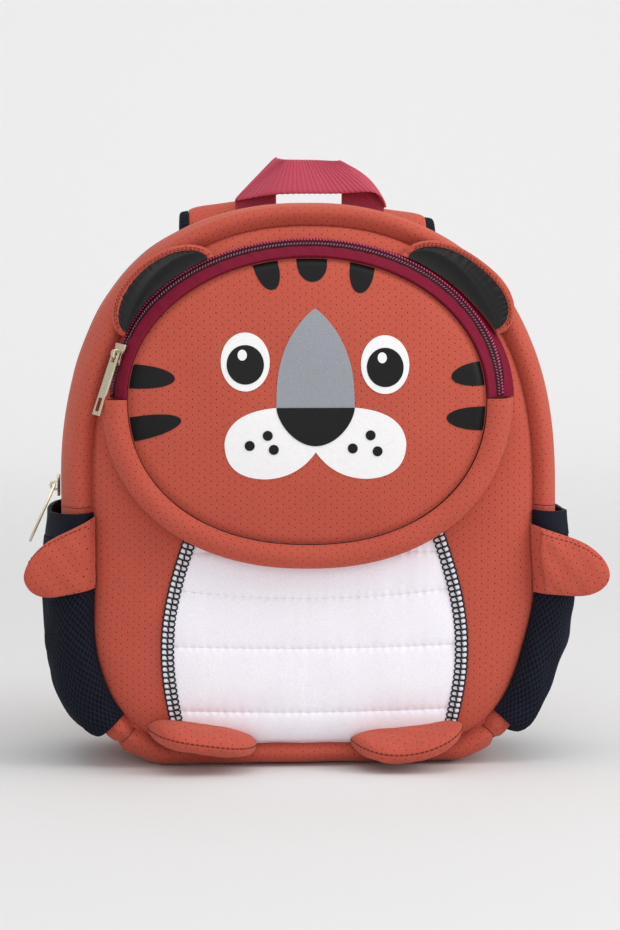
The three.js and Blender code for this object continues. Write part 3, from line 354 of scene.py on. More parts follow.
def neopreneMaterial(name, values):
    # Punched neoprene, laminated with a fine polyester jersey: matt, with a soft sheen and pin holes, each
    # painted dark as the shade inside it, with a painted highlight beside it.
    material, tree, shader = startMaterial(name)
    place = clothPlace(tree)
    wobble = objectNoise(tree, 160.0, 1.0)
    across = maths(tree, "MULTIPLY_ADD", wobble.outputs[0], 0.7, place.outputs[0])
    pitches = values["pitchAcross"], values["pitchDown"]
    distance = staggered(tree, across, place.outputs[1], *pitches).outputs["Value"]
    radius = values["holeRadius"]
    rim = {0: distance, 1: radius * 0.8, 2: radius * 1.3, 3: 1.0, 4: 0.0}
    hole = addNode(tree, "MapRange", rim, interpolation_type="SMOOTHSTEP")
    dimple = addNode(tree, "MapRange", {0: distance, 1: 0.0, 2: values["dimple"]})
    # Painted highlight: a light spot just beside each hole, standing in for its lit rim.
    beside = maths(tree, "ADD", across, 0.55)
    beside = staggered(tree, beside, place.outputs[1], *pitches).outputs["Value"]
    rimHighlight = addNode(tree, "MapRange", {0: beside, 1: 0.15, 2: 0.42, 3: 0.3, 4: 0.0})
    knit = objectNoise(tree, 1 / (values["knit"] * mm), 2.0, 0.6)
    slant = maths(tree, "MULTIPLY_ADD", place.outputs[1], 0.75, place.outputs[0])
    slant = maths(tree, "MULTIPLY", slant, 2 * math.pi / values["rib"])
    slant = maths(tree, "SINE", slant)
    broad = objectNoise(tree, 38.0, 2.0)
    tone = addNode(tree, "MapRange", {0: knit.outputs[0], 1: 0.35, 2: 0.62, 3: 0.3, 4: 0.85})
    tone = maths(tree, "MULTIPLY_ADD", broad.outputs[0], 0.35, tone)
    tone = maths(tree, "MULTIPLY_ADD", slant, 0.07, tone)
    # the painted highlight beside each hole lifts the jersey's tone there
    tone = maths(tree, "ADD", tone, rimHighlight)
    tones = {0: tone, 6: linearColour(values["deep"]), 7: linearColour(values["colour"])}
    jersey = addNode(tree, "Mix", tones, data_type="RGBA", clamp_factor=False)
    # each hole takes the hole colour, which is painted shade inside it
    tones = {0: hole, 6: jersey.outputs[2], 7: linearColour(values["hole"])}
    colour = addNode(tree, "Mix", tones, data_type="RGBA")
    tree.links.new(colour.outputs[2], shader.inputs["Base Color"])
    height = maths(tree, "MULTIPLY_ADD", knit.outputs[0], 0.2, dimple)
    addRelief(tree, shader, height, 0.5, 0.24)
    setSurface(shader, {"Roughness": 0.85, "IOR": 1.5, "Specular IOR Level": 0.25})
    setSurface(shader, {"Sheen Weight": 0.2, "Sheen Roughness": 0.5, "Sheen Tint": linearColour(0xFFB4A0)})
    return material


def plainJersey(name, colour, deep, roughness, knitSize, strength):
    # Smooth polyester jersey without holes: a fine even grain and a faint sheen.
    material, tree, shader = startMaterial(name)
    knit = objectNoise(tree, 1 / (knitSize * mm), 2.0)
    tone = addNode(tree, "MapRange", {0: knit.outputs[0], 1: 0.3, 2: 0.6})
    twoTone(tree, shader, tone, deep, colour)
    addRelief(tree, shader, knit.outputs[0], strength, 0.2)
    setSurface(shader, {"Roughness": roughness, "Sheen Weight": 0.12, "Specular IOR Level": 0.3})
    return material


def wovenMaterial(name, colour, deep, pitchAlong, pitchAcross, strength, sheen=0.0, lean=1.0):
    # Woven tape: a twill of threads, drawn as a diagonal wave that turns back at each rib.
    material, tree, shader = startMaterial(name)
    place = clothPlace(tree)
    turned = maths(tree, "PINGPONG", place.outputs[1], pitchAcross)
    slant = maths(tree, "MULTIPLY_ADD", turned, lean, place.outputs[0])
    angle = maths(tree, "MULTIPLY", slant, 2 * math.pi / pitchAlong)
    wave = maths(tree, "SINE", angle)
    thread = objectNoise(tree, 2200.0, 1.0)
    level = addNode(tree, "MapRange", {0: wave, 1: -1.0, 2: 1.0, 3: 0.0, 4: 0.75})
    level = maths(tree, "MULTIPLY_ADD", thread.outputs[0], 0.4, level)
    twoTone(tree, shader, level, deep, colour)
    addRelief(tree, shader, level, strength, 0.25)
    setSurface(shader, {"Roughness": 0.75, "Sheen Weight": sheen, "Specular IOR Level": 0.2})
    return material


def threadMaterial(name, colour, deep, roughness, shine=0.4):
    # Spun or moulded thread: an even colour broken by fine noise, so that it never looks painted.
    material, tree, shader = startMaterial(name)
    grain = objectNoise(tree, 1500.0, 2.0)
    twoTone(tree, shader, grain, deep, colour)
    addRelief(tree, shader, grain.outputs[0], 0.3, 0.1)
    setSurface(shader, {"Roughness": roughness, "Specular IOR Level": shine})
    return material


def filmMaterial(name, colour, deep, shine, grainSize, spread):
    # Heat-pressed print film: smooth and slightly glossy, with the faint grain of the jersey under it.
    material, tree, shader = startMaterial(name)
    grain = objectNoise(tree, 1 / (grainSize * mm), 1.0)
    tone = addNode(tree, "MapRange", {0: grain.outputs[0], 1: 0.5 - spread, 2: 0.5 + spread})
    twoTone(tree, shader, tone, deep, colour)
    addRelief(tree, shader, grain.outputs[0], 0.2, 0.15)
    setSurface(shader, {"Roughness": 0.5, "Specular IOR Level": shine})
    return material


def vinylMaterial(name):
    # Soft black vinyl: a low sheen that runs along its folds, and a fine leather grain.
    material, tree, shader = startMaterial(name)
    grain = addNode(tree, "TexVoronoi", {"Scale": 1400.0})
    tree.links.new(addNode(tree, "TexCoord").outputs["Object"], grain.inputs["Vector"])
    twoTone(tree, shader, grain.outputs["Distance"], 0x050506, 0x0E0E10)
    addRelief(tree, shader, grain.outputs["Distance"], 0.2, 0.1)
    setSurface(shader, {"Roughness": 0.34, "Specular IOR Level": 0.3})
    return material


airMesh = {
    "colour": 0x161C2E,
    # painted shade: the near-black inside each open cell, and a random darker tone of the cords
    "deep": 0x030407,
    "pitchAcross": 2.9,  # knitted cells, taller than wide
    "pitchDown": 2.05,
    "slit": 0.62,  # half width of a cell's open slit
    "squash": 0.42,  # the slit's width as a share of its height
}


def airMeshMaterial(name, values):
    # Knitted spacer mesh: matt navy cords round open cells, which are painted near-black as the shade inside
    # them.
    material, tree, shader = startMaterial(name)
    place = clothPlace(tree)
    pitches = values["pitchAcross"], values["pitchDown"]
    distance = staggered(tree, place.outputs[1], place.outputs[0], *pitches, values["squash"])
    edges = {0: distance.outputs["Value"], 1: values["slit"] * 0.6, 2: values["slit"] * 1.2}
    cell = addNode(tree, "MapRange", edges, interpolation_type="SMOOTHSTEP")
    thread = objectNoise(tree, 2400.0, 1.0)
    level = addNode(tree, "MapRange", {0: thread.outputs[0], 1: 0.25, 2: 0.75, 3: 0.55, 4: 1.0})
    # the open cells take the dark tone fully, as painted shade in them
    level = maths(tree, "MULTIPLY", level, cell)
    twoTone(tree, shader, level, values["deep"], values["colour"])
    addRelief(tree, shader, level, 0.8, 0.4)
    setSurface(shader, {"Roughness": 0.8, "Specular IOR Level": 0.2})
    return material


def nickelMaterial(name):
    # Plated zinc die casting, warm nickel: bright, with faint polishing marks.
    material, tree, shader = startMaterial(name)
    marks = objectNoise(tree, 260.0, 2.0)
    rough = addNode(tree, "MapRange", {0: marks.outputs[0], 1: 0.3, 2: 0.7, 3: 0.2, 4: 0.3})
    tree.links.new(rough.outputs[0], shader.inputs["Roughness"])
    twoTone(tree, shader, marks, 0xC9BCA2, 0xD9CFB9)
    setSurface(shader, {"Metallic": 1.0})
    return material


coral = neopreneMaterial("coral_punched_neoprene", neoprene)
whiteJersey = plainJersey("white_jersey_neoprene", 0xF6F3FA, 0xE9E6F0, 0.8, 0.5, 0.2)
whiteThread = threadMaterial("white_polyester_thread", 0xEDEDF2, 0xD2D2DC, 0.55)
greyThread = threadMaterial("grey_polyester_thread", 0xB4B2BE, 0x8E8C9A, 0.6)
navyThread = threadMaterial("navy_polyester_thread", 0x0E1220, 0x04060B, 0.6)
redThread = threadMaterial("dark_red_thread", 0x6E241B, 0x42100B, 0.7)
burgundyTape = wovenMaterial("burgundy_twill_zip_tape", 0x98123A, 0x3E0412, 0.95, 1.5, 0.8, 0.0, 1.2)
magentaCoil = threadMaterial("magenta_nylon_coil", 0xD8477C, 0x8E2048, 0.3, 0.6)
paleCoil = threadMaterial("rose_nylon_coil", 0xA9667C, 0x5E2440, 0.35, 0.5)
# painted shade: the near-black between the coil's turns, on the cord and tape edges seen there
coilShade = threadMaterial("coil_cord_painted_shade", 0x34060F, 0x1A0307, 0.7, 0.2)
redWebbing = wovenMaterial("red_ribbed_webbing", 0xCC5268, 0x93283C, 0.8, 0.9, 0.5, 0.15)
navyElastic = wovenMaterial("navy_elastic_binding", 0x111626, 0x05070D, 0.7, 0.8, 0.4)
navyWebbing = wovenMaterial("navy_flat_webbing", 0x131829, 0x05070D, 1.4, 1.6, 0.6)
navyMesh = airMeshMaterial("navy_spacer_mesh", airMesh)
blackVinyl = vinylMaterial("black_soft_vinyl")
whiteFilm = filmMaterial("white_print_film", 0xF0EEEF, 0xE8E7E7, 0.4, 1.2, 0.3)
blackFilm = filmMaterial("black_print_film", 0x0C0C0E, 0x060607, 0.22, 0.8, 0.3)
greyFilm = filmMaterial("grey_print_film", 0x979BA1, 0x848990, 0.4, 0.35, 0.14)
nickel = nickelMaterial("polished_nickel_plate")
navyPlastic = threadMaterial("navy_moulded_acetal", 0x0D111E, 0x080B14, 0.38, 0.5)
print("materials made")


# Main bag: sizes that its panels share, in millimetres
archLow, archHigh = nodeBox("arch_front_strip")
bag = {
    "width": archHigh[0] - archLow[0],
    "height": archHigh[2],
    "depth": 92,  # side wall with both seam rolls
    "widest": 141,  # height of the widest place
    "archPower": 2.3,  # 2 is an ellipse, and more is squarer
    "basePower": 4.2,
    "baseSink": 5,  # how far the outline would pass under the floor
    "seamShare": 0.9,  # a seam's inset at the base, as a share of that at the sides
    "wall": 3,
    "gap": 0.35,
    "allowance": 1.2,  # how far a panel runs on under the seam
    "zipFront": 5,  # depth of the main zip's front edge
    "zipWidth": 11,
    "split": 3,  # degrees below the widest place where the arch meets the base strip
}
frontRoll = {"width": 8.4, "depth": 20, "seam": -40}
backRoll = {"width": 7, "depth": 14, "seam": -30}


def archParts(above):  # power, share of an inset and half height, over and under the widest place
    power = np.where(above, bag["archPower"], bag["basePower"])
    half = np.where(above, bag["height"] - bag["widest"], bag["widest"] + bag["baseSink"])
    return power, np.where(above, 1, bag["seamShare"]), half


def outline(angle, inset, sink=0.0):
    # Superellipse about the widest height, with a power for the arch and one for the base, cut by the floor.
    c, s = np.cos(angle), np.sin(angle)
    power, share, half = archParts(s > 0)
    reach = (np.abs(c) ** power + np.abs(s) ** power) ** (-1 / power)
    x = (bag["width"] / 2 - inset - sink) * c * reach
    z = bag["widest"] + (half - inset * share - sink) * s * reach
    return x, np.maximum(z, inset * bag["seamShare"] + sink)


def rollProfile(roll, side, turns):
    # Quarter round from the side wall to the seam: inset, depth, and the way the skin looks, as four rows.
    turns = np.radians(turns)
    out, along = np.sin(turns), side * np.cos(turns)
    depth = side * (bag["depth"] / 2 - roll["depth"]) + roll["depth"] * along
    return np.stack([roll["width"] * (1 - out), depth, out, along])


def flatProfile(depths):  # straight across the side wall
    return np.stack([0 * depths, depths, 1 + 0 * depths, 0 * depths])


def skinPoint(angle, profile, sink):  # a point of the skin, sunk the way the skin looks
    inset, y, out, back = profile
    x, z = outline(angle, inset, sink * out)
    return np.stack(np.broadcast_arrays(x, y - sink * back, z), -1)


frontSeam = rollProfile(frontRoll, -1, np.array(frontRoll["seam"]))
backSeam = rollProfile(backRoll, 1, np.array(backRoll["seam"]))
gapAngle = math.degrees(2 * bag["gap"] / bag["width"])


def stripPiece(name, first, last, count, profile, seed, hems=(), seams=()):  # angles in degrees
    # Wall strip: the profile carried round the outline, with the slight unevenness of sewn cloth.
    angle = np.radians(np.linspace(first, last, count))[:, None]
    profile = profile[:, None, :]
    base = skinPoint(angle, profile, 0)
    pattern = lengthPattern(base)
    life = ripple(pattern[..., 0], pattern[..., 1], seed, 46, 0.55)
    tuck = np.zeros(profile.shape[-1])
    for hem in hems:
        tuck = tuck + 1.3 * np.clip(1 - np.abs(profile[1, 0] - hem) / 2.2, 0, 1) ** 2
    edge = np.clip(np.minimum(pattern[..., 1], pattern[..., 1].max() - pattern[..., 1]) / 8, 0, 1)
    for seam in seams:  # the corner seams, drawn in, with small puckers beside them
        away = np.abs(np.degrees(angle) - seam) * bag["width"] / 115
        pucker = 0.5 * np.exp(-((away / 7) ** 2)) * np.sin(pattern[..., 1] / 1.7)
        tuck = tuck + 1.7 * np.exp(-((away / 2.1) ** 2)) + pucker
    outer = skinPoint(angle, profile, tuck - life * edge)
    inner = skinPoint(angle, profile, bag["wall"])
    return wallPiece(name, outer, inner, coral, pattern)


zipEnd = bag["zipFront"] + bag["zipWidth"]
archFirst, archLast = gapAngle - bag["split"], 180 + bag["split"] - gapAngle
frontTurns = rollProfile(frontRoll, -1, np.linspace(frontRoll["seam"], 90, 34))
backTurns = rollProfile(backRoll, 1, np.linspace(90, backRoll["seam"], 26))
frontFlat = flatProfile(np.linspace(frontTurns[1, -1], bag["zipFront"], 22)[1:])
backFlat = flatProfile(np.linspace(zipEnd, backTurns[1, 0], 14)[:-1])
for name, profile, seed, hem in (
    ("arch_front", np.hstack([frontTurns, frontFlat]), 3, bag["zipFront"]),
    ("arch_back", np.hstack([backFlat, backTurns]), 5, zipEnd),
):
    strip = stripPiece(name, archFirst, archLast, 300, profile, seed, [hem])
    settle(strip, [name + "_strip"])
middle = flatProfile(np.linspace(frontTurns[1, -1], backTurns[1, 0], 26)[1:-1])
girth = np.hstack([frontTurns, middle, backTurns])
corner = {"low": 228.5, "high": 311.5}  # degrees of the seams between the base and the sides
low, high = corner["low"], corner["high"]
for name, node, first, last, seed, seams in (
    ("side_wall_left", "side_strip_left", 180 + bag["split"], low, 7, [low]),
    ("base_wall", "base_strip", low + gapAngle, high - gapAngle, 8, [low, high]),
    ("side_wall_right", "side_strip_right", high, 360 - bag["split"], 9, [high]),
):
    settle(stripPiece(name, first, last, 130, girth, seed, (), seams), [node])
print("side walls made")


# Front panel, open where the white belly is set in
frontCrown = {"height": 12, "power": 8}
backCrown = {"height": 2, "power": 4}
belly = {
    "centre": 2,
    "top": 128,
    "quilt": 1.3,  # height of the quilting
    "seams": [0.165, 0.45, 0.696, 0.86],
    "sag": [1.4, 1.6, 4.6, 0.0],  # how far each quilting seam hangs lower in the middle
    "stitch": 4.2,  # quilting stitch length
    "pull": 0.5,  # how deep each stitch pulls the cloth in
    "widths": [(0, 67.5), (0.1, 70), (0.3, 74), (0.45, 75), (0.68, 71.5), (0.9, 64), (1, 60)],
}


def panelReach(x, z, seam):  # 0 in a panel's middle and 1 on its seam
    power, share, half = archParts(z > bag["widest"])
    inset = seam[0] + bag["gap"]
    across = np.abs(x) / (bag["width"] / 2 - inset)
    up = np.abs(z - bag["widest"]) / (half - inset * share)
    toFloor = (bag["widest"] - z) / (bag["widest"] - inset * bag["seamShare"])
    return np.maximum((across**power + up**power) ** (1 / power), toFloor)


def frontPanelY(x, z):
    # The front swells off its seam: the crown times the root of one minus a high power of the reach.
    rise = np.sqrt(np.maximum(0, 1 - panelReach(x, z, frontSeam) ** frontCrown["power"]))
    return frontSeam[1] - frontCrown["height"] * rise


panelInset = frontSeam[0] - bag["allowance"]
panelBottom = panelInset * bag["seamShare"]


def panelHalfWidth(z):  # the front's outline solved for its half width at a height
    power, share, half = archParts(z > bag["widest"])
    up = np.minimum(1, np.abs(z - bag["widest"]) / (half - panelInset * share))
    return (bag["width"] / 2 - panelInset) * (1 - up**power) ** (1 / power)


bellyHeights = mix(panelBottom, belly["top"], np.array([row[0] for row in belly["widths"]]))
bellyHalves = np.array([row[1] for row in belly["widths"]], float)
bellyCurve = np.polyfit(bellyHeights, bellyHalves, 5)


def bellyHalfWidth(z):  # a smooth curve through the belly's widths
    return np.polyval(bellyCurve, np.clip(z, panelBottom, belly["top"]))


def frontPanel():
    # Columns run from the seam to the belly's edge, across it and out again; rows are heights.
    top = bag["height"] - panelInset
    low = np.linspace(panelBottom, belly["top"], 74)
    high = bag["widest"] + (top - bag["widest"]) * np.sin(np.linspace(0, math.pi / 2, 74))
    z = np.concatenate([low, np.linspace(belly["top"], bag["widest"], 8)[1:-1], high])[:, None]
    half = panelHalfWidth(z)
    inside = mix(bellyHalfWidth(z) + bag["gap"], 0.55 * half, smooth((z - belly["top"]) / 40))
    inside = np.minimum(inside, 0.9 * half)
    centre = belly["centre"] * (1 - smooth((z - belly["top"]) / 40))
    sideColumns = 34
    out = np.sin(np.linspace(0, math.pi / 2, sideColumns))[None]
    right = mix(centre + inside, half, out)
    left = mix(centre - inside, -half, out)
    between = mix(centre - inside, centre + inside, np.linspace(0, 1, 54)[None, 1:-1])
    x = np.hstack([left[:, ::-1], between, right])
    z = np.broadcast_to(z, x.shape)
    surface = frontPanelY(x, z)
    life = ripple(x, z, 11, 60, 0.7) * smooth((1 - panelReach(x, z, frontSeam)) / 0.08)
    outer = np.stack([x, surface + life, z], -1)
    inner = np.stack([x, surface + bag["wall"], z], -1)
    columns = np.arange(x.shape[1] - 1)
    hole = (columns >= sideColumns - 1) & (columns < x.shape[1] - sideColumns)
    keep = ~(hole[None] & (z[1:, :1] <= belly["top"] + 1e-6))
    return wallPiece("front_cover", outer, inner, coral, np.stack([x, z], -1), keep)


settle(frontPanel(), ["front_panel"])


def bellyChannel(share):
    # Height of the quilting between its seams: a flattened half wave in each channel.
    bounds = np.array([0, *belly["seams"], 1.0])
    k = np.clip(np.searchsorted(bounds, share, side="right") - 1, 0, len(bounds) - 2)
    channel = (share - bounds[k]) / (bounds[k + 1] - bounds[k])
    return np.maximum(0, np.sin(math.pi * channel)) ** 0.42 * np.where(share > belly["seams"][-1], 0.2, 1)


def bellySurface(across, share, lift=0.0):
    # share counts along the height by quilting seam, and each seam hangs a little in its middle.
    hang = np.interp(share, [0, *belly["seams"], 1.0], [0, *belly["sag"], 0])
    z = mix(panelBottom, belly["top"], share) - hang * (1 - np.asarray(across) ** 2)
    x = belly["centre"] + across * bellyHalfWidth(z)
    seams = np.array(belly["seams"])
    near = np.min(np.abs(np.asarray(share)[..., None] - seams), -1) * (belly["top"] - panelBottom)
    pulled = np.exp(-((near / 1.5) ** 2)) * (0.5 - 0.5 * np.cos(2 * math.pi * x / belly["stitch"]))
    rise = belly["quilt"] * bellyChannel(share) * domed(across, 10)
    pucker = 0.12 * np.exp(-near / 5) * np.sin(2 * math.pi * x / (belly["stitch"] * 2) + np.sin(x / 9))
    rise = rise - belly["pull"] * pulled + ripple(x, z, 21, 34, 0.45) + pucker * (1 - across**10)
    return np.stack(np.broadcast_arrays(x, frontPanelY(x, z) - rise - lift, z), -1)


def bellyPanel():
    bounds = [0, *belly["seams"], 1.0]
    counts = [26, 26, 24, 16, 8]
    rows = [mix(bounds[k], bounds[k + 1], crowded(count))[:-1] for k, count in enumerate(counts)]
    rows = np.concatenate([*rows, [1.0]])
    across = np.linspace(-1, 1, 270)[None]
    share = rows[:, None] + 0 * across
    outer = bellySurface(across, share)
    inner = outer.copy()
    inner[..., 1] = frontPanelY(outer[..., 0], outer[..., 2]) + bag["wall"]
    return wallPiece("white_belly", outer, inner, whiteJersey, outer[..., [0, 2]])


settle(bellyPanel(), ["belly_panel"])


def quiltStitches():
    # Lockstitch along each quilting seam: short slanted threads that sink into the cloth at their ends.
    places, runs = [], []
    for seam in belly["seams"][:3]:
        half = bellyHalfWidth(mix(panelBottom, belly["top"], seam))
        x = np.arange(-half + 4.2, half - 4.2, belly["stitch"])
        ends = [bellySurface((x + shift) / half, np.full(len(x), seam), 0.1) for shift in (0.9, 3.3)]
        ends[1][:, 2] += 0.5
        places.append((ends[0] + ends[1]) / 2)
        runs.append(ends[1] - ends[0])
    places, runs = np.vstack(places), np.vstack(runs)
    return beadPiece("quilting_stitches", places, runs, toViewer, (2.6, 0.55, 0.45), greyThread, curl=0.12)


settle(quiltStitches(), [])

flatlock = {
    "pitch": 2.9,  # one needle step
    "half": 3.1,  # half of the seam's width
    "thread": 0.42,  # radius of the navy thread
    "band": 0.35,  # how proud the white thread under the loops lies
}


def flatlockLine(side):  # the belly's edge, from the base up
    z = np.linspace(panelBottom + 9, belly["top"] - 4, 900)
    x = belly["centre"] + side * bellyHalfWidth(z)
    return np.stack([x, frontPanelY(x, z), z], -1)


def flatlockPoint(side, along, across, lift):
    # A place on the seam: millimetres along it, across it to the right, and off the cloth.
    line = flatlockLine(side)
    middle = placesOn(line, along)
    run = unit(placesOn(line, along + 0.5) - placesOn(line, along - 0.5))
    across = np.asarray(across)[..., None]
    x = middle[..., 0] + across[..., 0] * run[..., 2]
    z = middle[..., 2] - across[..., 0] * run[..., 0]
    return np.stack([x, frontPanelY(x, z) - lift, z], -1)


def flatlockBand(side, name):
    # The mass of white looper thread between the two needle lines: a low ribbed ribbon.
    total = runLength(flatlockLine(side))[-1]
    along = np.linspace(0.5, total - 0.5, 460)[:, None]
    across = np.linspace(-1, 1, 15)[None]
    rib = 0.16 * np.sin(2 * math.pi * along / (flatlock["pitch"] / 2))
    height = 0.55 + (flatlock["band"] + rib) * domed(across, 4)
    place = (side, along + 0 * across, across * (flatlock["half"] - 0.25) + 0 * along)
    outer, inner = flatlockPoint(*place, height), flatlockPoint(*place, 0 * height + 0.05)
    return wallPiece(name, outer, inner, whiteThread)


def flatlockSteps(side):  # distances of the needle steps along the seam
    total = runLength(flatlockLine(side))[-1]
    return np.arange(2.5, total - 3, flatlock["pitch"])


def flatlockPuffs(side, name):
    # White looper thread on the outer half, pulled into a puff in each needle step.
    along = flatlockSteps(side) + flatlock["pitch"] / 2
    at = flatlockPoint(side, along, 0 * along + side * 1.6, 1.0 + 0 * along)
    run = flatlockPoint(side, along, 0 * along + side * 2.6, 1.0 + 0 * along) - at
    return beadPiece(name, at, run, toViewer, (2.5, 2.3, 1.1), whiteThread, 8)


def flatlockBars(side, name):
    # Navy bars between the puffs, from the middle line out to the scalloped edge.
    along = flatlockSteps(side)
    at = flatlockPoint(side, along, 0 * along + side * 1.5, 1.25 + 0 * along)
    run = flatlockPoint(side, along + 0.25, 0 * along + side * 2.5, 1.25 + 0 * along) - at
    return beadPiece(name, at, run, toViewer, (3.6, 0.75, 0.6), navyThread, curl=0.25)


def flatlockLoops(side, name):
    # Navy thread: a scalloped outer edge, a thin line down the middle and a teardrop loop in each inner step.
    steps = flatlockSteps(side)
    count = len(steps)
    turn = np.linspace(0, 2 * math.pi * count, count * 18)
    along = steps[0] + flatlock["pitch"] * turn / (2 * math.pi)
    scallop = np.abs(np.sin(turn / 2))
    outermost = side * (flatlock["half"] - 0.35 + 0.4 * scallop)
    paths = [flatlockPoint(side, along, outermost, 0.95 + 0.2 * scallop)]
    out = 0.5 - 0.5 * np.cos(turn)
    wave = 0.8 * np.sin(turn) * (0.3 + 0.7 * out)
    paths.append(flatlockPoint(side, along - wave, -side * flatlock["half"] * out**0.8, 1.15 - 0.35 * out**3))
    weave = 0.2 * np.sin(turn)
    paths.append(flatlockPoint(side, along, weave, 1.3 + 0.06 * np.cos(turn)))
    return tubePiece(name, paths, flatlock["thread"], navyThread)


for sideName, side in (("left", -1), ("right", 1)):
    settle(flatlockBand(side, "flatlock_band_" + sideName), [])
    settle(flatlockPuffs(side, "flatlock_puffs_" + sideName), [])
    settle(flatlockBars(side, "flatlock_bars_" + sideName), [])
    settle(flatlockLoops(side, "flatlock_thread_" + sideName), [])
print("front and belly made")


def discGrid(count):
    # A square grid bent onto a round one, so that it has no pole: ring from 0 to 1, and the angle.
    line = np.sin(np.linspace(-1, 1, count) * math.pi / 2)
    u, v = np.meshgrid(line, line, indexing="ij")
    x, y = u * np.sqrt(1 - v * v / 2), v * np.sqrt(1 - u * u / 2)
    return np.minimum(1, np.hypot(x, y)), np.arctan2(y, x)


def backPanel():
    # The back is drawn on rings about the middle, and swells a little off its seam.
    ring, angle = discGrid(110)
    x, z = outline(angle, backSeam[0] - bag["allowance"])
    x, z = x * ring, mix(bag["widest"], z, ring)
    crown = backCrown["height"] * (1 - ring ** backCrown["power"])
    y = backSeam[1] + crown + ripple(x, z, 31, 70, 0.7) * (1 - ring**6)
    inner = np.stack([x, 0 * y + backSeam[1] - bag["allowance"], z], -1)
    return wallPiece("back_cover", np.stack([x, y, z], -1), inner, coral, np.stack([x, z], -1))


settle(backPanel(), ["back_panel"])

# Face pocket
face = {
    "left": 91.5,  # the face's reach from its middle each way
    "right": 89,
    "up": 70.5,
    "down": 73,
    "x": -1,
    "z": 190,  # height of its middle
    "upper": 2.02,  # powers of its outline
    "lower": 2.2,
    "crown": 8,  # how far the face domes off its rim
    "stand": 9.5,  # how far its rim stands off the front
    "tilt": 0.064,
    "borderLeft": 10,  # width of the border at each side and at the top
    "borderRight": 12.5,
    "borderTop": 8.6,
}
borderRoll = {"width": 7, "depth": 6, "seam": -50}
frontMost = -bag["depth"] / 2


def faceOutline(angle, grow):  # superellipse with its own reach each way
    c, s = np.cos(angle), np.sin(angle)
    power = np.where(s > 0, face["upper"], face["lower"])
    reach = (np.abs(c) ** power + np.abs(s) ** power) ** (-1 / power)
    wide = mix(face["right"], face["left"], smooth(0.5 - c * 2))
    tall = np.where(s > 0, face["up"], face["down"])
    return face["x"] + (wide + grow) * c * reach, face["z"] + (tall + grow) * s * reach


def borderAt(angle):  # width of the border and the zip round the face
    aside = mix(face["borderRight"], face["borderLeft"], smooth(0.5 - np.cos(angle) * 2))
    return mix(aside, face["borderTop"], np.maximum(0, np.sin(angle)) ** 2)


def faceRimY(z):  # the face's seam, in a plane that tips back toward the top
    return frontSeam[1] - frontCrown["height"] - face["stand"] + face["tilt"] * (z - face["z"])


def faceReach(x, z):  # 0 in the face's middle and 1 on its seam
    power = np.where(z > face["z"], face["upper"], face["lower"])
    across, up = x - face["x"], z - face["z"]
    across = np.abs(across) / mix(face["right"], face["left"], smooth(0.5 - across / face["right"] * 2))
    up = np.abs(up) / np.where(up > 0, face["up"], face["down"])
    return np.minimum(1, (across**power + up**power) ** (1 / power))


def faceY(x, z):
    # The face domes off its rim: the crown times one minus the cube of the reach, rounded off at the seam.
    reach = faceReach(x, z)
    tuck = 1.6 * np.exp(-(((1 - reach) * face["up"]) / 2.2) ** 2)
    return faceRimY(z) - face["crown"] * (1 - reach**3) + tuck + ripple(x, z, 41, 58, 0.5) * (1 - reach**4)


def landingY(x, z):  # where the border and the zip come down on the front
    return np.minimum(frontPanelY(x, z), frontMost) - bag["gap"]


def facePanel():
    ring, angle = discGrid(150)
    x, z = faceOutline(angle, 0)
    x, z = mix(face["x"], x, ring), mix(face["z"], z, ring)
    y = faceY(x, z)
    back = faceRimY(z) - face["crown"] * (1 - faceReach(x, z) ** 3) + bag["wall"]
    outer, inner = np.stack([x, y, z], -1), np.stack([x, back, z], -1)
    return wallPiece("face_cover", outer, inner, coral, outer[..., [0, 2]])


settle(facePanel(), ["face_panel"])


def faceBorder():
    # Roll round the lower half: an arc from the face's seam over its crest and down to the front panel.
    angle = np.radians(np.linspace(180 + 2 * gapAngle, 360 - 2 * gapAngle, 260))[:, None]
    turns = np.radians(np.linspace(borderRoll["seam"], 90, 26))
    middle = bag["gap"] - borderRoll["width"] * math.sin(math.radians(borderRoll["seam"]))
    rimX, rimZ = faceOutline(angle, 0)
    centre = faceRimY(rimZ) + borderRoll["depth"] * math.cos(math.radians(borderRoll["seam"]))

    def surface(sink):
        grow = middle + (borderRoll["width"] - sink) * np.sin(turns)[None]
        x, z = faceOutline(angle, grow)
        y = centre - (borderRoll["depth"] - sink) * np.cos(turns)[None]
        arc = np.stack([x, np.minimum(y, landingY(x, z) - sink * 0.2), z], -1)
        x, z = faceOutline(angle, middle + borderRoll["width"] - 0.4 - sink)
        foot = np.stack([x, landingY(x, z), z], -1)
        steps = np.linspace(0, 1, 8)[None, 1:, None]
        return np.concatenate([arc, mix(arc[:, -1:], foot, steps)], 1)

    outer = surface(0)
    pattern = lengthPattern(outer)
    away = unit(outer - np.stack([rimX, centre + 6, rimZ], -1))
    crest = np.exp(-(((pattern[..., 1] - 8) / 5) ** 2))
    outer = outer + away * (ripple(pattern[..., 0], pattern[..., 1], 51, 30, 0.5) * crest)[..., None]
    return wallPiece("face_edge_roll", outer, surface(bag["wall"] * 0.6), coral, pattern)


settle(faceBorder(), ["face_border"])

# Zips
zipper = {
    "tape": 1.2,
    "coilWidth": 4.0,
    "pitch": 1.55,  # between neighbouring turns of the coil
    "lean": 34,  # degrees that the two rows of the coil lean to each other
}


def coilShare(angle):  # where the coil lies across the tape: outermost at the top and on the left
    aside = mix(0.5, 0.74, smooth(0.5 - np.cos(angle) * 2))
    return mix(aside, 0.77, np.maximum(0, np.sin(angle)) ** 1.5)


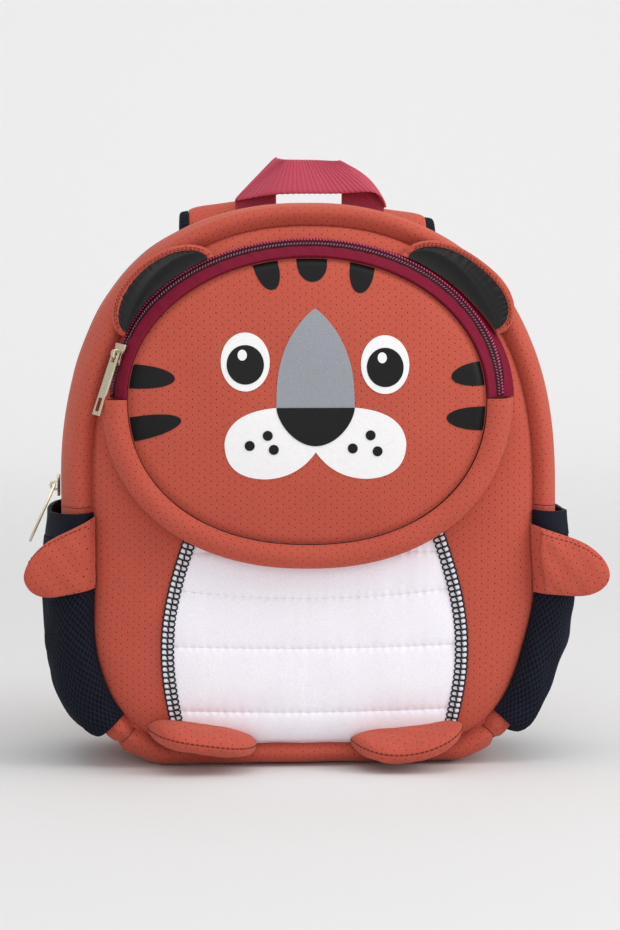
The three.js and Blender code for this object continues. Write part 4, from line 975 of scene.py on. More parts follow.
def faceZipPoint(angle, share, lift):
    # Tape between the face's seam, share 0, and the front panel, share 1, arched a little.
    width = borderAt(angle)
    x, z = faceOutline(angle, mix(bag["gap"], width, share))
    rim = faceOutline(angle, 0)
    outer = faceOutline(angle, width)
    start, end = faceRimY(rim[1]), landingY(*outer)
    slope = np.arctan2(end - start, width)
    gx, gz = x - face["x"], z - face["z"]
    far = np.hypot(gx, gz)
    sideways = lift * np.sin(slope)
    arched = mix(start, end, share) - 1.5 * np.sin(math.pi * share)
    y = np.minimum(arched, landingY(x, z)) - lift * np.cos(slope)
    return np.stack([x + gx / far * sideways, y, z + gz / far * sideways], -1)


def mainZipPoint(angle, share, lift):
    depth = bag["zipFront"] + mix(bag["gap"], bag["zipWidth"] - bag["gap"], share)
    return skinPoint(angle, flatProfile(depth), 1 - (lift - zipper["tape"]) + 0 * angle)


def mainCentre(angle):
    return 0.56 + 0 * angle


def mainWidth(angle):
    return bag["zipWidth"] + 0 * angle


def zipTape(name, point, first, last, seed, centre, width):
    angle = np.radians(np.linspace(first, last, 420))[:, None]
    share = np.linspace(0, 1, 26)[None]
    base = point(angle + 0 * share, share + 0 * angle, 0)
    pattern = lengthPattern(base)
    pucker = ripple(pattern[..., 0], pattern[..., 1] * 0.3, seed, 8, 1.3) * np.sin(math.pi * share) * 0.6
    coil = np.exp(-(((share - centre(angle)) * width(angle) / 2.6) ** 4))
    outer = point(angle + 0 * share, share + 0 * angle, zipper["tape"] + pucker * (1 - coil))
    return wallPiece(name, outer, base, burgundyTape, pattern)


def coilBed(name, point, first, last, centre, width):
    # The cord and cut tape edges that show between the turns, darkened to near-black as painted shade between
    # them.
    angle = np.radians(np.linspace(first, last, 420))[:, None]
    across = np.linspace(-0.5, 0.5, 9)[None]
    share = centre(angle) + across * zipper["coilWidth"] / width(angle)
    rise = 0.45 * domed(across * 2, 4)
    outer = point(angle + 0 * share, share, zipper["tape"] + 0.1 + rise)
    return wallPiece(name, outer, point(angle + 0 * share, share, zipper["tape"] - 0.5), coilShade)


def coilRow(name, point, first, last, centre, width, row, material, size):
    # One row of the coil's short turns, evenly spaced along the curve and leaning to the other row.
    fine = np.radians(np.linspace(first, last, 1500))
    line = point(fine, centre(fine), zipper["tape"])
    length = runLength(line)
    spaced = np.arange(1.0, length[-1] - 1.0, zipper["pitch"]) + row * zipper["pitch"] / 4
    angle = np.interp(spaced, length, fine)
    step, middle = math.radians(0.4), centre(angle)
    ahead = unit(point(angle + step, middle, 1.2) - point(angle - step, middle, 1.2))
    across = unit(point(angle, middle + 0.1, 1.2) - point(angle, middle - 0.1, 1.2))
    outward = point(angle, middle, 2.2) - point(angle, middle, 1.2)
    up = unit(np.cross(ahead, across))
    up = up * np.sign((up * outward).sum(-1, keepdims=True))
    lean = math.radians(zipper["lean"])
    at = point(angle, middle + row * zipper["coilWidth"] * 0.25 / width(angle), zipper["tape"]) + up * 0.7
    run = across * math.cos(lean) + ahead * math.sin(lean) * row
    return beadPiece(name, at, run, up, size, material, curl=0.3)


for name, node, point, first, last, seed, centre, width in (
    ("face_zip_", "face_zip", faceZipPoint, gapAngle, 180 - gapAngle, 61, coilShare, borderAt),
    ("main_zip_", "main_zip", mainZipPoint, archFirst, archLast, 63, mainCentre, mainWidth),
):
    settle(zipTape(name + "tape", point, first, last, seed, centre, width), [node])
    run = (point, first + 0.6, last - 0.6, centre, width)
    # the bed is painted shade between the coil's turns
    settle(coilBed(name + "bed", *run), [])
    settle(coilRow(name + "outer_coil", *run, 1, magentaCoil, (1.8, 0.95, 1.2)), [])
    settle(coilRow(name + "inner_coil", *run, -1, paleCoil, (1.9, 0.7, 1.0)), [])
print("face pocket and zips made")


# Printed face film
film = {"middle": 1, "lift": 0.28}


def filmPoint(x, z, lift):  # a place on the face, lifted off the cloth
    return np.stack([x, faceY(x, z) - lift, z], -1)


def filmPiece(name, x, z, material, level=0):
    # Thin film on a grid of places on the face. level lays one film over another.
    front = filmPoint(x, z, film["lift"] + level * 0.16)
    return wallPiece(name, front, filmPoint(x, z, 0.05 + level * 0.16), material, np.stack([x, z], -1))


def edgedFilm(name, left, right, lower, upper, material, level=0, count=64):
    # Film between a lower and an upper edge, each a height as a function of the place across it.
    x = mix(left, right, crowded(count))[:, None] + np.zeros((1, max(10, count // 2)))
    z = mix(lower(x), upper(x), np.linspace(0, 1, x.shape[1])[None])
    return filmPiece(name, x, z, material, level)


def ovalFilm(name, x, z, halfWidth, halfHeight, material, level=0, count=40):
    ring, angle = discGrid(count)
    x = x + film["middle"] + halfWidth * ring * np.cos(angle)
    return filmPiece(name, x, z + face["z"] + halfHeight * ring * np.sin(angle), material, level)


eye = {"white": (0, 20.2, 12.2, 14.6), "dark": (0, 18.8, 9.3, 9.8), "glint": (-1.5, 23.6, 2.3, 2.7)}
eyePlaces = [("left", -35, -1.5), ("right", 35, -3)]  # place across, and how much lower than the sizes say
dots = {"radius": 2.5, "places": [(-33, -23), (-24, -18), (-21, -25), (27.5, -18), (18.5, -24.5), (31, -26)]}
browStripes = [(-23.5, 3.5, 6.3, 14), (0, 0, 7.9, 11.5), (25.5, -2.3, 6.3, 14.5)]  # place, lean, half, length
cheekStripes = [  # side, heights of the root and the tip, half width, how far the tip is from the middle
    ("left_1", -1, 11.4, 10.4, 6.0, 68.0),
    ("left_2", -1, -15.1, -10.5, 6.0, 65.0),
    ("right_1", 1, 12.4, 10.9, 6.0, 70.7),
    ("right_2", 1, -10.3, -9.8, 6.0, 68.2),
]

for sideName, across, lower in eyePlaces:
    for name, node, key, material, slot, level in (
        ("eye_film_", "eye_white_", "white", whiteFilm, "white_print", 0),
        ("pupil_film_", "pupil_", "dark", blackFilm, "black_print", 1),
        ("glint_film_", "glint_", "glint", whiteFilm, "white_print", 2),
    ):
        x, z, half, tall = eye[key]
        oval = ovalFilm(name + sideName, across + x, z + lower, half, tall, material, level)
        settle(oval, [node + sideName])


def edgeHeight(x):  # height of the face's upper edge over its middle
    reach = np.abs(x) / np.where(x < 0, face["left"], face["right"])
    return face["up"] * (1 - reach ** face["upper"]) ** (1 / face["upper"])


def edgeReach(side, z):  # how far the face reaches to one side at a height over its middle
    power = np.where(z > 0, face["upper"], face["lower"])
    tall = np.where(z > 0, face["up"], face["down"])
    return face["left" if side < 0 else "right"] * (1 - (np.abs(z) / tall) ** power) ** (1 / power)


def browStripe(name, x, lean, half, length):
    # The lower half of an oval that hangs from the face's edge and leans to one side on its way down.
    u = np.linspace(-1, 1, 40)[:, None]
    v = np.linspace(0, 1, 26)[None]
    down = length * domed(u, 2.2) * v
    place = x + film["middle"] + half * u + lean * down / length
    top = edgeHeight(place) - 0.5
    return filmPiece(name, face["x"] + place, face["z"] + top - down, blackFilm)


for k, row in enumerate(browStripes):
    settle(browStripe("brow_film_%d" % (k + 1), *row), ["brow_stripe_%d" % (k + 1)])


def cheekStripe(name, side, root, tip, half, reach):
    # Half an oval from the face's edge to its tip.
    u = np.sin(np.linspace(0, math.pi / 2, 50))[:, None]
    v = np.linspace(-1, 1, 26)[None]
    z = mix(root, tip, u) + v * half * domed(u, 2.2)
    x = mix(edgeReach(side, z) - 0.5, reach, u)
    return filmPiece(name, face["x"] + side * x, face["z"] + z, blackFilm)


for name, *row in cheekStripes:
    settle(cheekStripe("cheek_film_" + name, *row), ["cheek_stripe_" + name])

nose = {"top": -4.2, "half": 19.6, "depth": 19.1, "bridge": 49.4}
muzzle = {"half": 45.5, "cheek": 17.6, "depth": 35.6, "notch": 22.1, "chin": 25}
noseLine = face["z"] + nose["top"]


def noseShare(x):  # 0 in the nose's middle and 1 at its corners
    return np.clip(np.abs(x - film["middle"]) / nose["half"], 0, 1)


def flatLine(x):
    return noseLine + 0 * x


def noseLower(x):  # the nose's underside: a rounded V, deepest in the middle
    return noseLine - nose["depth"] * (1 - noseShare(x) ** 1.9) ** 0.63


def bridgeUpper(x):  # a tall dome, full at the sides and pointed at the top
    return noseLine + nose["bridge"] * (1 - noseShare(x) ** 1.15) ** 0.385


noseEnds = (film["middle"] - nose["half"], film["middle"] + nose["half"])
bridgeFilm = edgedFilm("bridge_film", *noseEnds, flatLine, bridgeUpper, greyFilm, 0, 96)
settle(bridgeFilm, ["nose_bridge"])
settle(edgedFilm("nose_film", *noseEnds, noseLower, flatLine, blackFilm, 2, 96), ["nose"])


def arc(start, handle, end, count):  # a curve from start to end that heads for handle first
    t = np.linspace(0, 1, count)[:, None]
    start, handle, end = (np.array(p, float) for p in (start, handle, end))
    return (1 - t) ** 2 * start + 2 * t * (1 - t) * handle + t**2 * end


def muzzleEdge(name):
    # Each cheek is three curves: over the cheek, round under it, and up to the notch under the nose.
    half, cheek, depth, chin, notch = (muzzle[k] for k in ("half", "cheek", "depth", "chin", "notch"))
    right = np.vstack(
        [
            arc((nose["half"] * 0.4, 0), (nose["half"], 0), (nose["half"], 0), 10)[:-1],
            arc((nose["half"], 0), (half * 0.96, -2), (half, -cheek), 34)[:-1],
            arc((half, -cheek), (half, -depth * 0.99), (chin, -depth), 34)[:-1],
            arc((chin, -depth), (9, -depth * 0.98), (0, -notch), 34),
        ]
    )
    left = right[::-1][1:] * [-1, 1]
    loop = np.vstack([right, left, right[:1]]) + [film["middle"], noseLine]
    centre = np.array([film["middle"], noseLine - 13])
    place = centre + (loop[:, None] - centre) * np.linspace(0, 1, 24)[None, :, None]
    return filmPiece(name, place[..., 0], place[..., 1], whiteFilm)


settle(muzzleEdge("muzzle_film"), ["muzzle"])
for k, (x, z) in enumerate(dots["places"]):
    dot = ovalFilm("whisker_dot_%d" % (k + 1), x, z, dots["radius"], dots["radius"], blackFilm, 2, 16)
    settle(dot, [])
print("face print made")

# Ears
ear = {
    "spread": 20,  # degrees each way
    "power": 2.4,  # how full the ear's outline is
    "thick": 4.5,
    "lean": 3,
    "hem": 3.1,
    "lining": 0.8,
    "stitch": 2.1,  # length of a topstitch with its gap
    "left": {"angle": 42, "height": 15.5},
    "right": {"angle": 42, "height": 18},
}


def earPoint(sideName, across, rise, lift):
    # A flap that follows the zip's outer edge: place across from -1 to 1, and rise in millimetres.
    side = 1 if sideName == "left" else -1
    angle = np.radians(90 + side * (90 - ear[sideName]["angle"] - across * ear["spread"]))
    x, z = faceOutline(angle, borderAt(angle) + 3 * bag["gap"] + rise)
    root = -bag["depth"] / 2 - bag["gap"] - ear["thick"] / 2 - 1.5
    up = rise / ear[sideName]["height"]
    y = np.minimum(root, landingY(x, z) - ear["thick"] / 2) - ear["lean"] * up**1.5
    return np.stack([x, y - lift, z], -1)


def earInset(sideName, share, up, inset):
    # The same dome drawn smaller by an even hem, with pointed ends where it meets the zip.
    small = 1 - inset / (ear["spread"] * 1.6)
    return share * small, up * (ear[sideName]["height"] - inset) * domed(share, ear["power"])


def earPiece(sideName, name):
    # The flap, with a raised hem round the sunk place of the lining, thinner toward its edge.
    share = np.sin(np.linspace(-1, 1, 90) * math.pi / 2)[:, None] * 0.99
    up = np.sin(np.linspace(0, 1, 40) * math.pi / 2)[None]
    share, up = share + 0 * up, up + 0 * share
    rise = np.maximum(0.6, ear[sideName]["height"] * domed(share, ear["power"])) * up
    low, high = earInset(sideName, share, 1.0, ear["hem"])
    high = np.interp(share, low[:, 0], high[:, 0])
    inside = smooth((high - rise) / 1.2 + 0.5) * smooth((1 - np.abs(share)) / 0.12)
    fullness = domed(up, 8) * domed(share, 14)
    half = ear["thick"] / 2 * (0.12 + 0.88 * fullness)
    outer = earPoint(sideName, share, rise, half + 0.55 * fullness * (1 - inside) - 0.4 * inside)
    return wallPiece(name, outer, earPoint(sideName, share, rise, -half), coral, outer[..., [0, 2]])


def earLiningPiece(sideName, name):
    # Black lining with one soft slanting fold and small gathers along its outer edge.
    share = np.sin(np.linspace(-1, 1, 110) * math.pi / 2)[:, None] * 0.995
    up = np.linspace(0, 1, 40)[None]
    share, up = share + 0 * up, up + 0 * share
    gather = 0.22 * np.sin(share * 58 + 3 * np.sin(share * 9)) * up**5
    fold = 1.1 * np.exp(-(((up - 0.5 - 0.3 * share) / 0.2) ** 2)) * (1 - share**2)
    lift = ear["thick"] / 2 - 0.1 + ear["lining"] * 0.6 * domed(up, 8) + gather + fold
    place = earInset(sideName, share, up, ear["hem"])
    base = earPoint(sideName, *place, ear["thick"] / 2 - 0.9)
    return wallPiece(name, earPoint(sideName, *place, lift), base, blackVinyl)


def earStitches(sideName, name):
    # Twin rows of topstitching that hold the hem down.
    rows = []
    for inset in (1.5, 2.4):
        place = earInset(sideName, np.linspace(-0.96, 0.96, 600), 1.0, inset)
        rows.append(stitchRow(earPoint(sideName, *place, ear["thick"] / 2 + 0.6), ear["stitch"], 1, 0.6))
    places, runs = (np.vstack(part) for part in zip(*rows))
    return beadPiece(name, places, runs, toViewer, (1.5, 0.4, 0.35), redThread)


def settlePair(make, name, node):
    # The same piece on both sides; node is the start of its node's name, or nothing for a detail.
    pieces = []
    for sideName in ("left", "right"):
        nodes = [node + sideName] if node else []
        pieces.append(settle(make(sideName, name + sideName), nodes))
    return pieces


settlePair(earPiece, "ear_flap_", "ear_")
settlePair(earLiningPiece, "ear_inside_", "ear_lining_")
settlePair(earStitches, "ear_topstitch_", None)

# Arms: stuffed fins. Heights of the middle at the root, its drop to the tip, and half widths at both ends
arm = {
    "left": {"start": 111.2, "length": 35.8, "height": 111.9, "drop": 12, "root": 18.2, "tip": 12.9},
    "right": {"start": 110.7, "length": 38.1, "height": 107.3, "drop": 7.9, "root": 17.6, "tip": 12.6},
    "thick": 8.4,
    "stitch": 2.4,
    "fill": 0.5,  # how tightly it is stuffed
}
bindingThick = 2.2  # elastic at the pockets' mouths, which the arms lie over


def armPoint(sideName, along, up, puff):
    # up runs from -1 to 1 across the fin, and puff from -1 to 1 through it.
    size = arm[sideName]
    side = -1 if sideName == "left" else 1
    end = domed(np.clip((along - 0.5) / 0.5, 0, 1), 2.4)
    half = mix(size["root"], size["tip"], along) * end
    root = bag["depth"] / 2 + 0.6
    over = bag["depth"] / 2 + bindingThick + bag["gap"] + arm["thick"] / 2
    x = side * (size["start"] + size["length"] * along)
    z = size["height"] - size["drop"] * along**0.9 + half * up
    fat = (arm["thick"] / 2 - 0.3) * np.maximum(0, 1 - up * up) ** 0.42
    fat = fat * np.minimum(1, 0.35 + along * 4) * end**0.6
    near = domed(up, 6) * end
    pucker = 0.35 * np.sin(along * 34 + up * 5) * np.exp(-((1 - np.abs(up)) * 5)) * near
    fat = fat + (ripple(x, z, 71, 17, 0.8) + pucker) * near * smooth(along * 8)
    y = -mix(root, over, 1 - (1 - np.clip(along / 0.25, 0, 1)) ** 3)
    return np.stack([x, y - puff * (fat + 0.3), z], -1)


def armPiece(sideName, name):
    # The holes' rows are turned with the cloth, by an angle for each arm.
    along = crowded(80)[:, None]
    up = np.sin(np.linspace(-1, 1, 60) * math.pi / 2)[None]
    along, up = along + 0 * up, up + 0 * along
    front = armPoint(sideName, along, up, 1.0)
    turn = math.radians(18 if sideName == "left" else -12)
    c, s = math.cos(turn), math.sin(turn)
    mark = np.stack([front[..., 0] * c - front[..., 2] * s, front[..., 2] * c + front[..., 0] * s], -1)
    return wallPiece(name, front, armPoint(sideName, along, up, -1.0), coral, mark)


def armSeam(sideName, name):
    # Topstitching just inside the fin's upper edge.
    line = armPoint(sideName, np.linspace(0.1, 0.93, 300), np.full(300, 0.86), 1.06)
    places, runs = stitchRow(line, arm["stitch"], arm["stitch"] / 2, 0.5)
    return beadPiece(name, places, runs, toViewer, (1.7, 0.4, 0.35), redThread)


# Feet: stuffed paws sewn into the base seam. Heights at the left end, in the middle and at the right end,
# of the seam round the edge (rise) and of the root
foot = {
    "left": {"from": -83, "to": -27.5, "rise": (21.5, 16.4, 13.0), "root": (21, 17.5, 12)},
    "right": {"from": 21, "to": 78, "rise": (14.5, 10.6, 21.5), "root": (13, 15, 20)},
    "length": 26,
    "thick": 12.6,
    "stitch": 2.6,
    "fill": 0.6,
}


def footPoint(sideName, across, along, puff):
    # A tongue that lies forward: across and along from 0 to 1, puff from -1 under it to 1 on top.
    size = foot[sideName]
    w = across * 2 - 1
    x = mix(size["from"], size["to"], across)
    shares = w * (w - 1) / 2, 1 - w * w, w * (w + 1) / 2  # of the heights: left, middle, right
    edge, root = (sum(h * part for h, part in zip(size[key], shares)) for key in ("rise", "root"))
    out = domed(w, 3.4)
    middle = mix(root, edge, smooth(along * 1.15))
    start = np.minimum(-bag["depth"] / 2 - bag["gap"], frontPanelY(x, np.maximum(middle, 13)) - 0.2)
    y = start - foot["length"] * out * along
    fat = foot["thick"] / 2 * domed(np.clip((along - 0.35) / 0.65, 0, 1), 2.4)
    fat = fat * domed(w, 4.5)
    near = out * smooth((1 - along) * 8)
    pucker = 0.4 * np.sin(across * 46 + 2 * np.sin(across * 9)) * np.exp(-(1 - along) * 7) * out
    fat = fat + (ripple(x, y, 81, 15, 0.8) * near + pucker * smooth((1 - along) * 12)) * smooth(along * 4)
    lean = mix(0.0, 0.35, smooth(along))  # the top face tips over toward the edge seam
    return np.stack([x, y + lean * puff * fat * 0.4, np.maximum(0.02, middle + puff * (fat + 0.3))], -1)


def footPiece(sideName, name):
    across = crowded(90)[:, None]
    along = np.sin(np.linspace(0, 1, 56) * math.pi / 2)[None]
    across, along = across + 0 * along, along + 0 * across
    top = footPoint(sideName, across, along, 1.0)
    return wallPiece(name, top, footPoint(sideName, across, along, -1.0), coral)


def footSeam(sideName, name):
    line = footPoint(sideName, crowded(400), np.ones(400), 0.0) + [0, -0.25, 0]
    places, runs = stitchRow(line, foot["stitch"], foot["stitch"] / 2, 0.5)
    return beadPiece(name, places, runs, toViewer, (2.1, 0.7, 0.5), redThread)


arms = settlePair(armPiece, "arm_fin_", "arm_")
feet = settlePair(footPiece, "foot_paw_", "foot_")
settlePair(armSeam, "arm_topstitch_", None)
settlePair(footSeam, "foot_stitching_", None)
print("ears, arms and feet made")

# Side pockets
pocket = {
    "top": 4,
    "bottom": 45,
    "bulge": 8.5,  # how far the mesh swells, and the mouth under it
    "open": 5,
    "mesh": 2,
    "binding": 10,
    "relief": 0.5,  # depth of the mesh's cells
    "front": -34,  # degrees round the front roll where the pocket is sewn down
}
bindingEnd = pocket["top"] + math.degrees(pocket["binding"] / (bag["width"] / 2))


def pocketPlace():
    # Across the pocket: the front roll, the flat wall and the back roll, with how far each stands off.
    front = rollProfile(frontRoll, -1, np.linspace(pocket["front"], 90, 70))
    flat = flatProfile(np.linspace(front[1, -1], bag["depth"] / 2 - backRoll["depth"], 50)[1:-1])
    back = rollProfile(backRoll, 1, np.linspace(90, 20, 34))
    profile = np.hstack([front, flat, back])
    length = np.concatenate([[0], np.cumsum(np.hypot(np.diff(profile[0]), np.diff(profile[1])))])
    share = np.sin(math.pi * length / length[-1]) ** 0.75
    return profile, share


def pocketPoint(side, angle, profile, share, extra):
    # Off the skin by the gap, the extra and the swell, which grows below the mouth and ends at the bottom.
    down = (angle - pocket["top"]) / (pocket["bottom"] - pocket["top"])
    below = smooth((angle - pocket["top"]) / (bindingEnd + 8 - pocket["top"]))
    swell = mix(pocket["open"], pocket["bulge"], below)
    swell = swell * domed(np.clip((down - 0.55) / 0.45, 0, 1), 2.5)
    lift = bag["gap"] + extra + swell * share
    place = skinPoint(-np.radians(angle), profile, -lift)
    return place * np.array([side, 1, 1])


def pocketPiece(side, name, first, last, rows, thickness, material, relief):
    # relief sinks the open cells, where the material shows them, and pleats the mesh at the bottom.
    profile, share = pocketPlace()
    profile = profile[:, None, :]
    angle = np.linspace(first, last, rows)[:, None]
    base = pocketPoint(side, angle, profile, share[None], thickness)
    pattern = lengthPattern(base)
    u, v = pattern[..., 0], pattern[..., 1]
    if relief:
        row = np.floor(u / airMesh["pitchDown"])
        dx = (v / airMesh["pitchAcross"] + 0.5 * row) % 1 - 0.5
        dy = (u / airMesh["pitchDown"]) % 1 - 0.5
        far = np.hypot(dx * airMesh["pitchAcross"], dy * airMesh["pitchDown"] * airMesh["squash"])
        cell = 1 - smooth((far / airMesh["slit"] - 0.6) / 0.7)
        pleat = 1.3 * np.sin(v / 5.5 + u / 30) * smooth((u / u.max() - 0.6) / 0.4)
        shape = -relief * cell + ripple(u, v, 91, 30, 1.5) + pleat
    else:
        shape = ripple(u, v, 93, 22, 0.35) + 0.12 * np.sin(2 * math.pi * v / 1.4)
    edge = np.clip(np.minimum(v, v.max() - v) / 4, 0, 1)
    outer = pocketPoint(side, angle, profile, share[None], thickness + shape * edge)
    inner = pocketPoint(side, angle, profile, share[None], 0.05)
    return wallPiece(name, outer, inner, material, pattern, sharp=70)


for sideName, side in (("left", -1), ("right", 1)):
    net = (bindingEnd + gapAngle, pocket["bottom"], 170, pocket["mesh"], navyMesh, pocket["relief"])
    rim = (pocket["top"], bindingEnd, 24, bindingThick, navyElastic, 0)
    for name, values, node, slot in (
        ("mesh_pocket_", net, "side_pocket_", "navy_mesh"),
        ("pocket_elastic_", rim, "pocket_binding_", "navy_tape"),
    ):
        settle(pocketPiece(side, name + sideName, *values), [node + sideName])
print("side pockets made")

# Top handle: webbing folded on the diagonal at both corners
handle = {"centre": 6, "thick": 1.6, "stand": 3.4, "lean": 12, "root": 3.5, "rib": 2.1, "bulge": 4}
rearMost = bag["depth"] / 2


def handleStations():
    # Each row holds one edge of the webbing, the other edge and the way its face looks.
    back = rearMost + bag["gap"] + handle["thick"] / 2
    fold, band = back - handle["stand"] / 2, back - handle["stand"]
    lean = band - handle["lean"]
    low = bag["height"] - backSeam[0] - handle["root"]
    rows = np.array(
        [
            [-33.5, back, low, -11.5, back, low, 0, 1, 0],
            [-33.5, back, 289, -11.5, back, 310, 0, 1, 0],
            [-33.4, fold, 290, -10.8, fold, 312.7, -0.7, 0, 0.7],
            [-31.5, band - 1, 290.6, -8.5, band, 312.5, 0, -1, 0],
            [-11, lean, 293.6, -5, band, 312.2, 0, -0.8, 0.6],
            [20, lean, 294, 9, band, 312, 0, -0.8, 0.6],
            [40, lean + 2, 294.5, 18.5, band, 311.6, 0, -0.9, 0.3],
            [47.4, fold, 287.4, 20.5, fold, 311.3, 0.7, 0, 0.7],
            [46.6, back, 286, 23.5, back, 308.5, 0, 1, 0],
            [45.5, back, low, 23.5, back, low, 0, 1, 0],
        ],
        float,
    )
    rows[1:-1, [2, 5]] += sag["crestDown"]
    return rows


def handlePiece():
    # Ribs run across the webbing, and its right fold bulges outward.
    rows = smoothRows(handleStations(), 560)
    edgeA, edgeB, normal = rows[:, None, 0:3], rows[:, None, 3:6], unit(rows[:, None, 6:9])
    across = np.linspace(0, 1, 30)[None, :, None]
    station = np.linspace(0, 9, 560)[:, None, None]
    bulge = handle["bulge"] * np.exp(-(((station - 7) / 0.9) ** 2)) * np.sin(math.pi * across)
    base = mix(edgeA, edgeB, across) + bulge * np.array([0.7, 0, 0.7])
    pattern = lengthPattern(base)
    rib = 0.5 * np.abs(np.sin(math.pi * pattern[..., :1] / handle["rib"])) - 0.15
    curve = 0.5 * handle["thick"] * domed(2 * across - 1, 8)
    outer, inner = base + normal * (curve + rib), base - normal * (curve + rib)
    return wallPiece("handle_webbing", outer, inner, redWebbing, pattern, sharp=80)


settle(handlePiece(), ["top_handle"])

# Shoulder straps
strap = {
    "width": 44,
    "thick": 7,
    "edge": 3.5,
    "binding": 5,
    "top": 47,
    "bottom": 58,
    "crest": -5.5,
    "tilt": 3.5,
    "sag": 5,  # how far the hanging strap stands off its straight line
    "taper": 0.7,  # share of the width that is left at the end
    "length": 168,
    "root": 20,  # length sewn down below the fold
    "fill": 0.8,  # how tightly the pad is filled
    "fold": 9.5,
    "lift": {-1: 6.5, 1: 3},  # how much higher each strap's fold stands
}


def strapStations(end, count):
    # Up from the root, over in half a turn, and down the back with a little sag: y, z, share down, turn.
    rootY = rearMost + bag["gap"] + strap["thick"] / 2
    turn = strap["fold"] + strap["thick"] / 2
    foldZ = bag["height"] + strap["crest"] - turn - strap["thick"] / 2
    rows = [[rootY, foldZ - strap["root"], 0, 0], [rootY, foldZ - strap["root"] / 2, 0, 0]]
    for angle in np.radians(np.linspace(0, 180, 9)):
        rows.append([rootY + turn - turn * math.cos(angle), foldZ + turn * math.sin(angle), 0, angle])
    for down in (0.1, 0.3, 0.5, 0.7, 0.85, end):
        hang = strap["sag"] * math.sin(math.pi * down) - strap["sag"] * down
        rows.append([rootY + 2 * turn + hang, foldZ - strap["length"] * down, down, math.pi])
    return smoothRows(rows, count)


def strapPoint(side, station, across, lift):
    # A place on the strap: its station, across it from -1 to 1, and off its middle the way it looks.
    y, z, down, turned = (station[:, k : k + 1] for k in range(4))
    half = strap["width"] / 2 * np.where(down > 0.8, mix(1, strap["taper"], (down - 0.8) / 0.2), 1)
    x = mix(strap["top"], strap["bottom"], smooth(down)) + across * half
    tilted = z - strap["tilt"] * across * (1 - smooth(down)) + strap["lift"][side] * (1 - smooth(down * 3))
    x, y, z = handle["centre"] + side * x, y - lift * np.cos(turned), tilted + lift * np.sin(turned)
    return np.stack(np.broadcast_arrays(x, y, z), -1)


bindingShare = 2 * strap["binding"] / strap["width"]
padEnd = 1 - strap["binding"] / strap["length"]


def strapPad(side, name):
    # Foam under neoprene, thinner toward its edges.
    across = np.sin(np.linspace(-1, 1, 40) * math.pi / 2)[None]
    station = strapStations(padEnd, 240)
    half = mix(strap["edge"], strap["thick"], domed(across, 4)) / 2
    flat = strapPoint(side, station, across * (1 - bindingShare), 0 * half)
    pattern = lengthPattern(flat)
    life = ripple(pattern[..., 0], pattern[..., 1], 101, 30, 0.4)
    front = strapPoint(side, station, across * (1 - bindingShare), half + life)
    back = strapPoint(side, station, across * (1 - bindingShare), -half)
    return wallPiece(name, front, back, coral, pattern)


def strapBinding(side, name):
    # Elastic tape folded over the pad's edge: down one side, across the end and up the other.
    inside = 1 - bindingShare + 2 * bag["gap"] / strap["width"]
    inner = strapStations(padEnd + bag["gap"] / strap["length"], 240)
    outer = strapStations(1, 240)
    rows = [(1, inner, outer), (-1, inner[::-1], outer[::-1])]
    grid = []
    edge = np.sin(np.linspace(0, 1, 12) * math.pi / 2)[None]
    for skin in (1, -1):
        parts = []
        for direction, near, far in rows:
            thick = skin * (strap["edge"] / 2) * domed(edge, 6) * 1.15
            size = (len(near), edge.shape[1])
            station = mix(near[:, None], far[:, None], edge[..., None]).reshape(-1, 4)
            reach = np.broadcast_to(mix(inside, 1.0, edge), size).reshape(-1, 1) * direction
            lift = np.broadcast_to(thick, size).reshape(-1, 1)
            gather = 0.22 * np.sin(np.repeat(np.arange(size[0]), size[1])[:, None] * 0.9) * skin
            parts.append(strapPoint(side, station, reach, lift + gather).reshape(*size, 3))
        grid.append(np.vstack(parts))
    return wallPiece(name, grid[0], grid[1], navyElastic, sharp=70)


adjuster = {"width": 28, "length": 24, "thick": 4, "bar": 3.4, "drop": 4.5}
webbing = {"width": 20, "thick": 1.4, "anchor": 76, "height": 36, "tail": 22}
tab = {"width": 26, "length": 22, "thick": 2.4}
strapTail = strapStations(1, 240)[-1]
adjusterZ = strapTail[1] - bag["gap"] - adjuster["drop"] - adjuster["length"] / 2
adjusterAt = (strap["bottom"], strapTail[0], adjusterZ)
wrapY = adjuster["thick"] / 2 + bag["gap"] + webbing["thick"] / 2
wrapZ = adjuster["bar"] / 2 + bag["gap"] + webbing["thick"] / 2
anchorReach = panelReach(webbing["anchor"] + handle["centre"], webbing["height"], backSeam)
anchorCrown = backCrown["height"] * (1 - anchorReach ** backCrown["power"])
anchorY = backSeam[1] + anchorCrown + 2 * bag["gap"] + tab["thick"] / 2


def webbingPiece(side, name, path):
    # Flat tape along a path seen from the side; each row is x, y, z and the way its face looks, y and z.
    rows = smoothRows(path, 160)
    across = np.linspace(-1, 1, 16)[None]
    look = unit(rows[:, 3:5])
    thick = webbing["thick"] / 2 * domed(across, 10)

    def surface(way):
        x = handle["centre"] + side * (rows[:, :1] + across * webbing["width"] / 2)
        y, z = (rows[:, k : k + 1] + way * thick * look[:, k - 1 : k] for k in (1, 2))
        return np.stack([x, y, z], -1)

    return wallPiece(name, surface(1), surface(-1), navyWebbing)


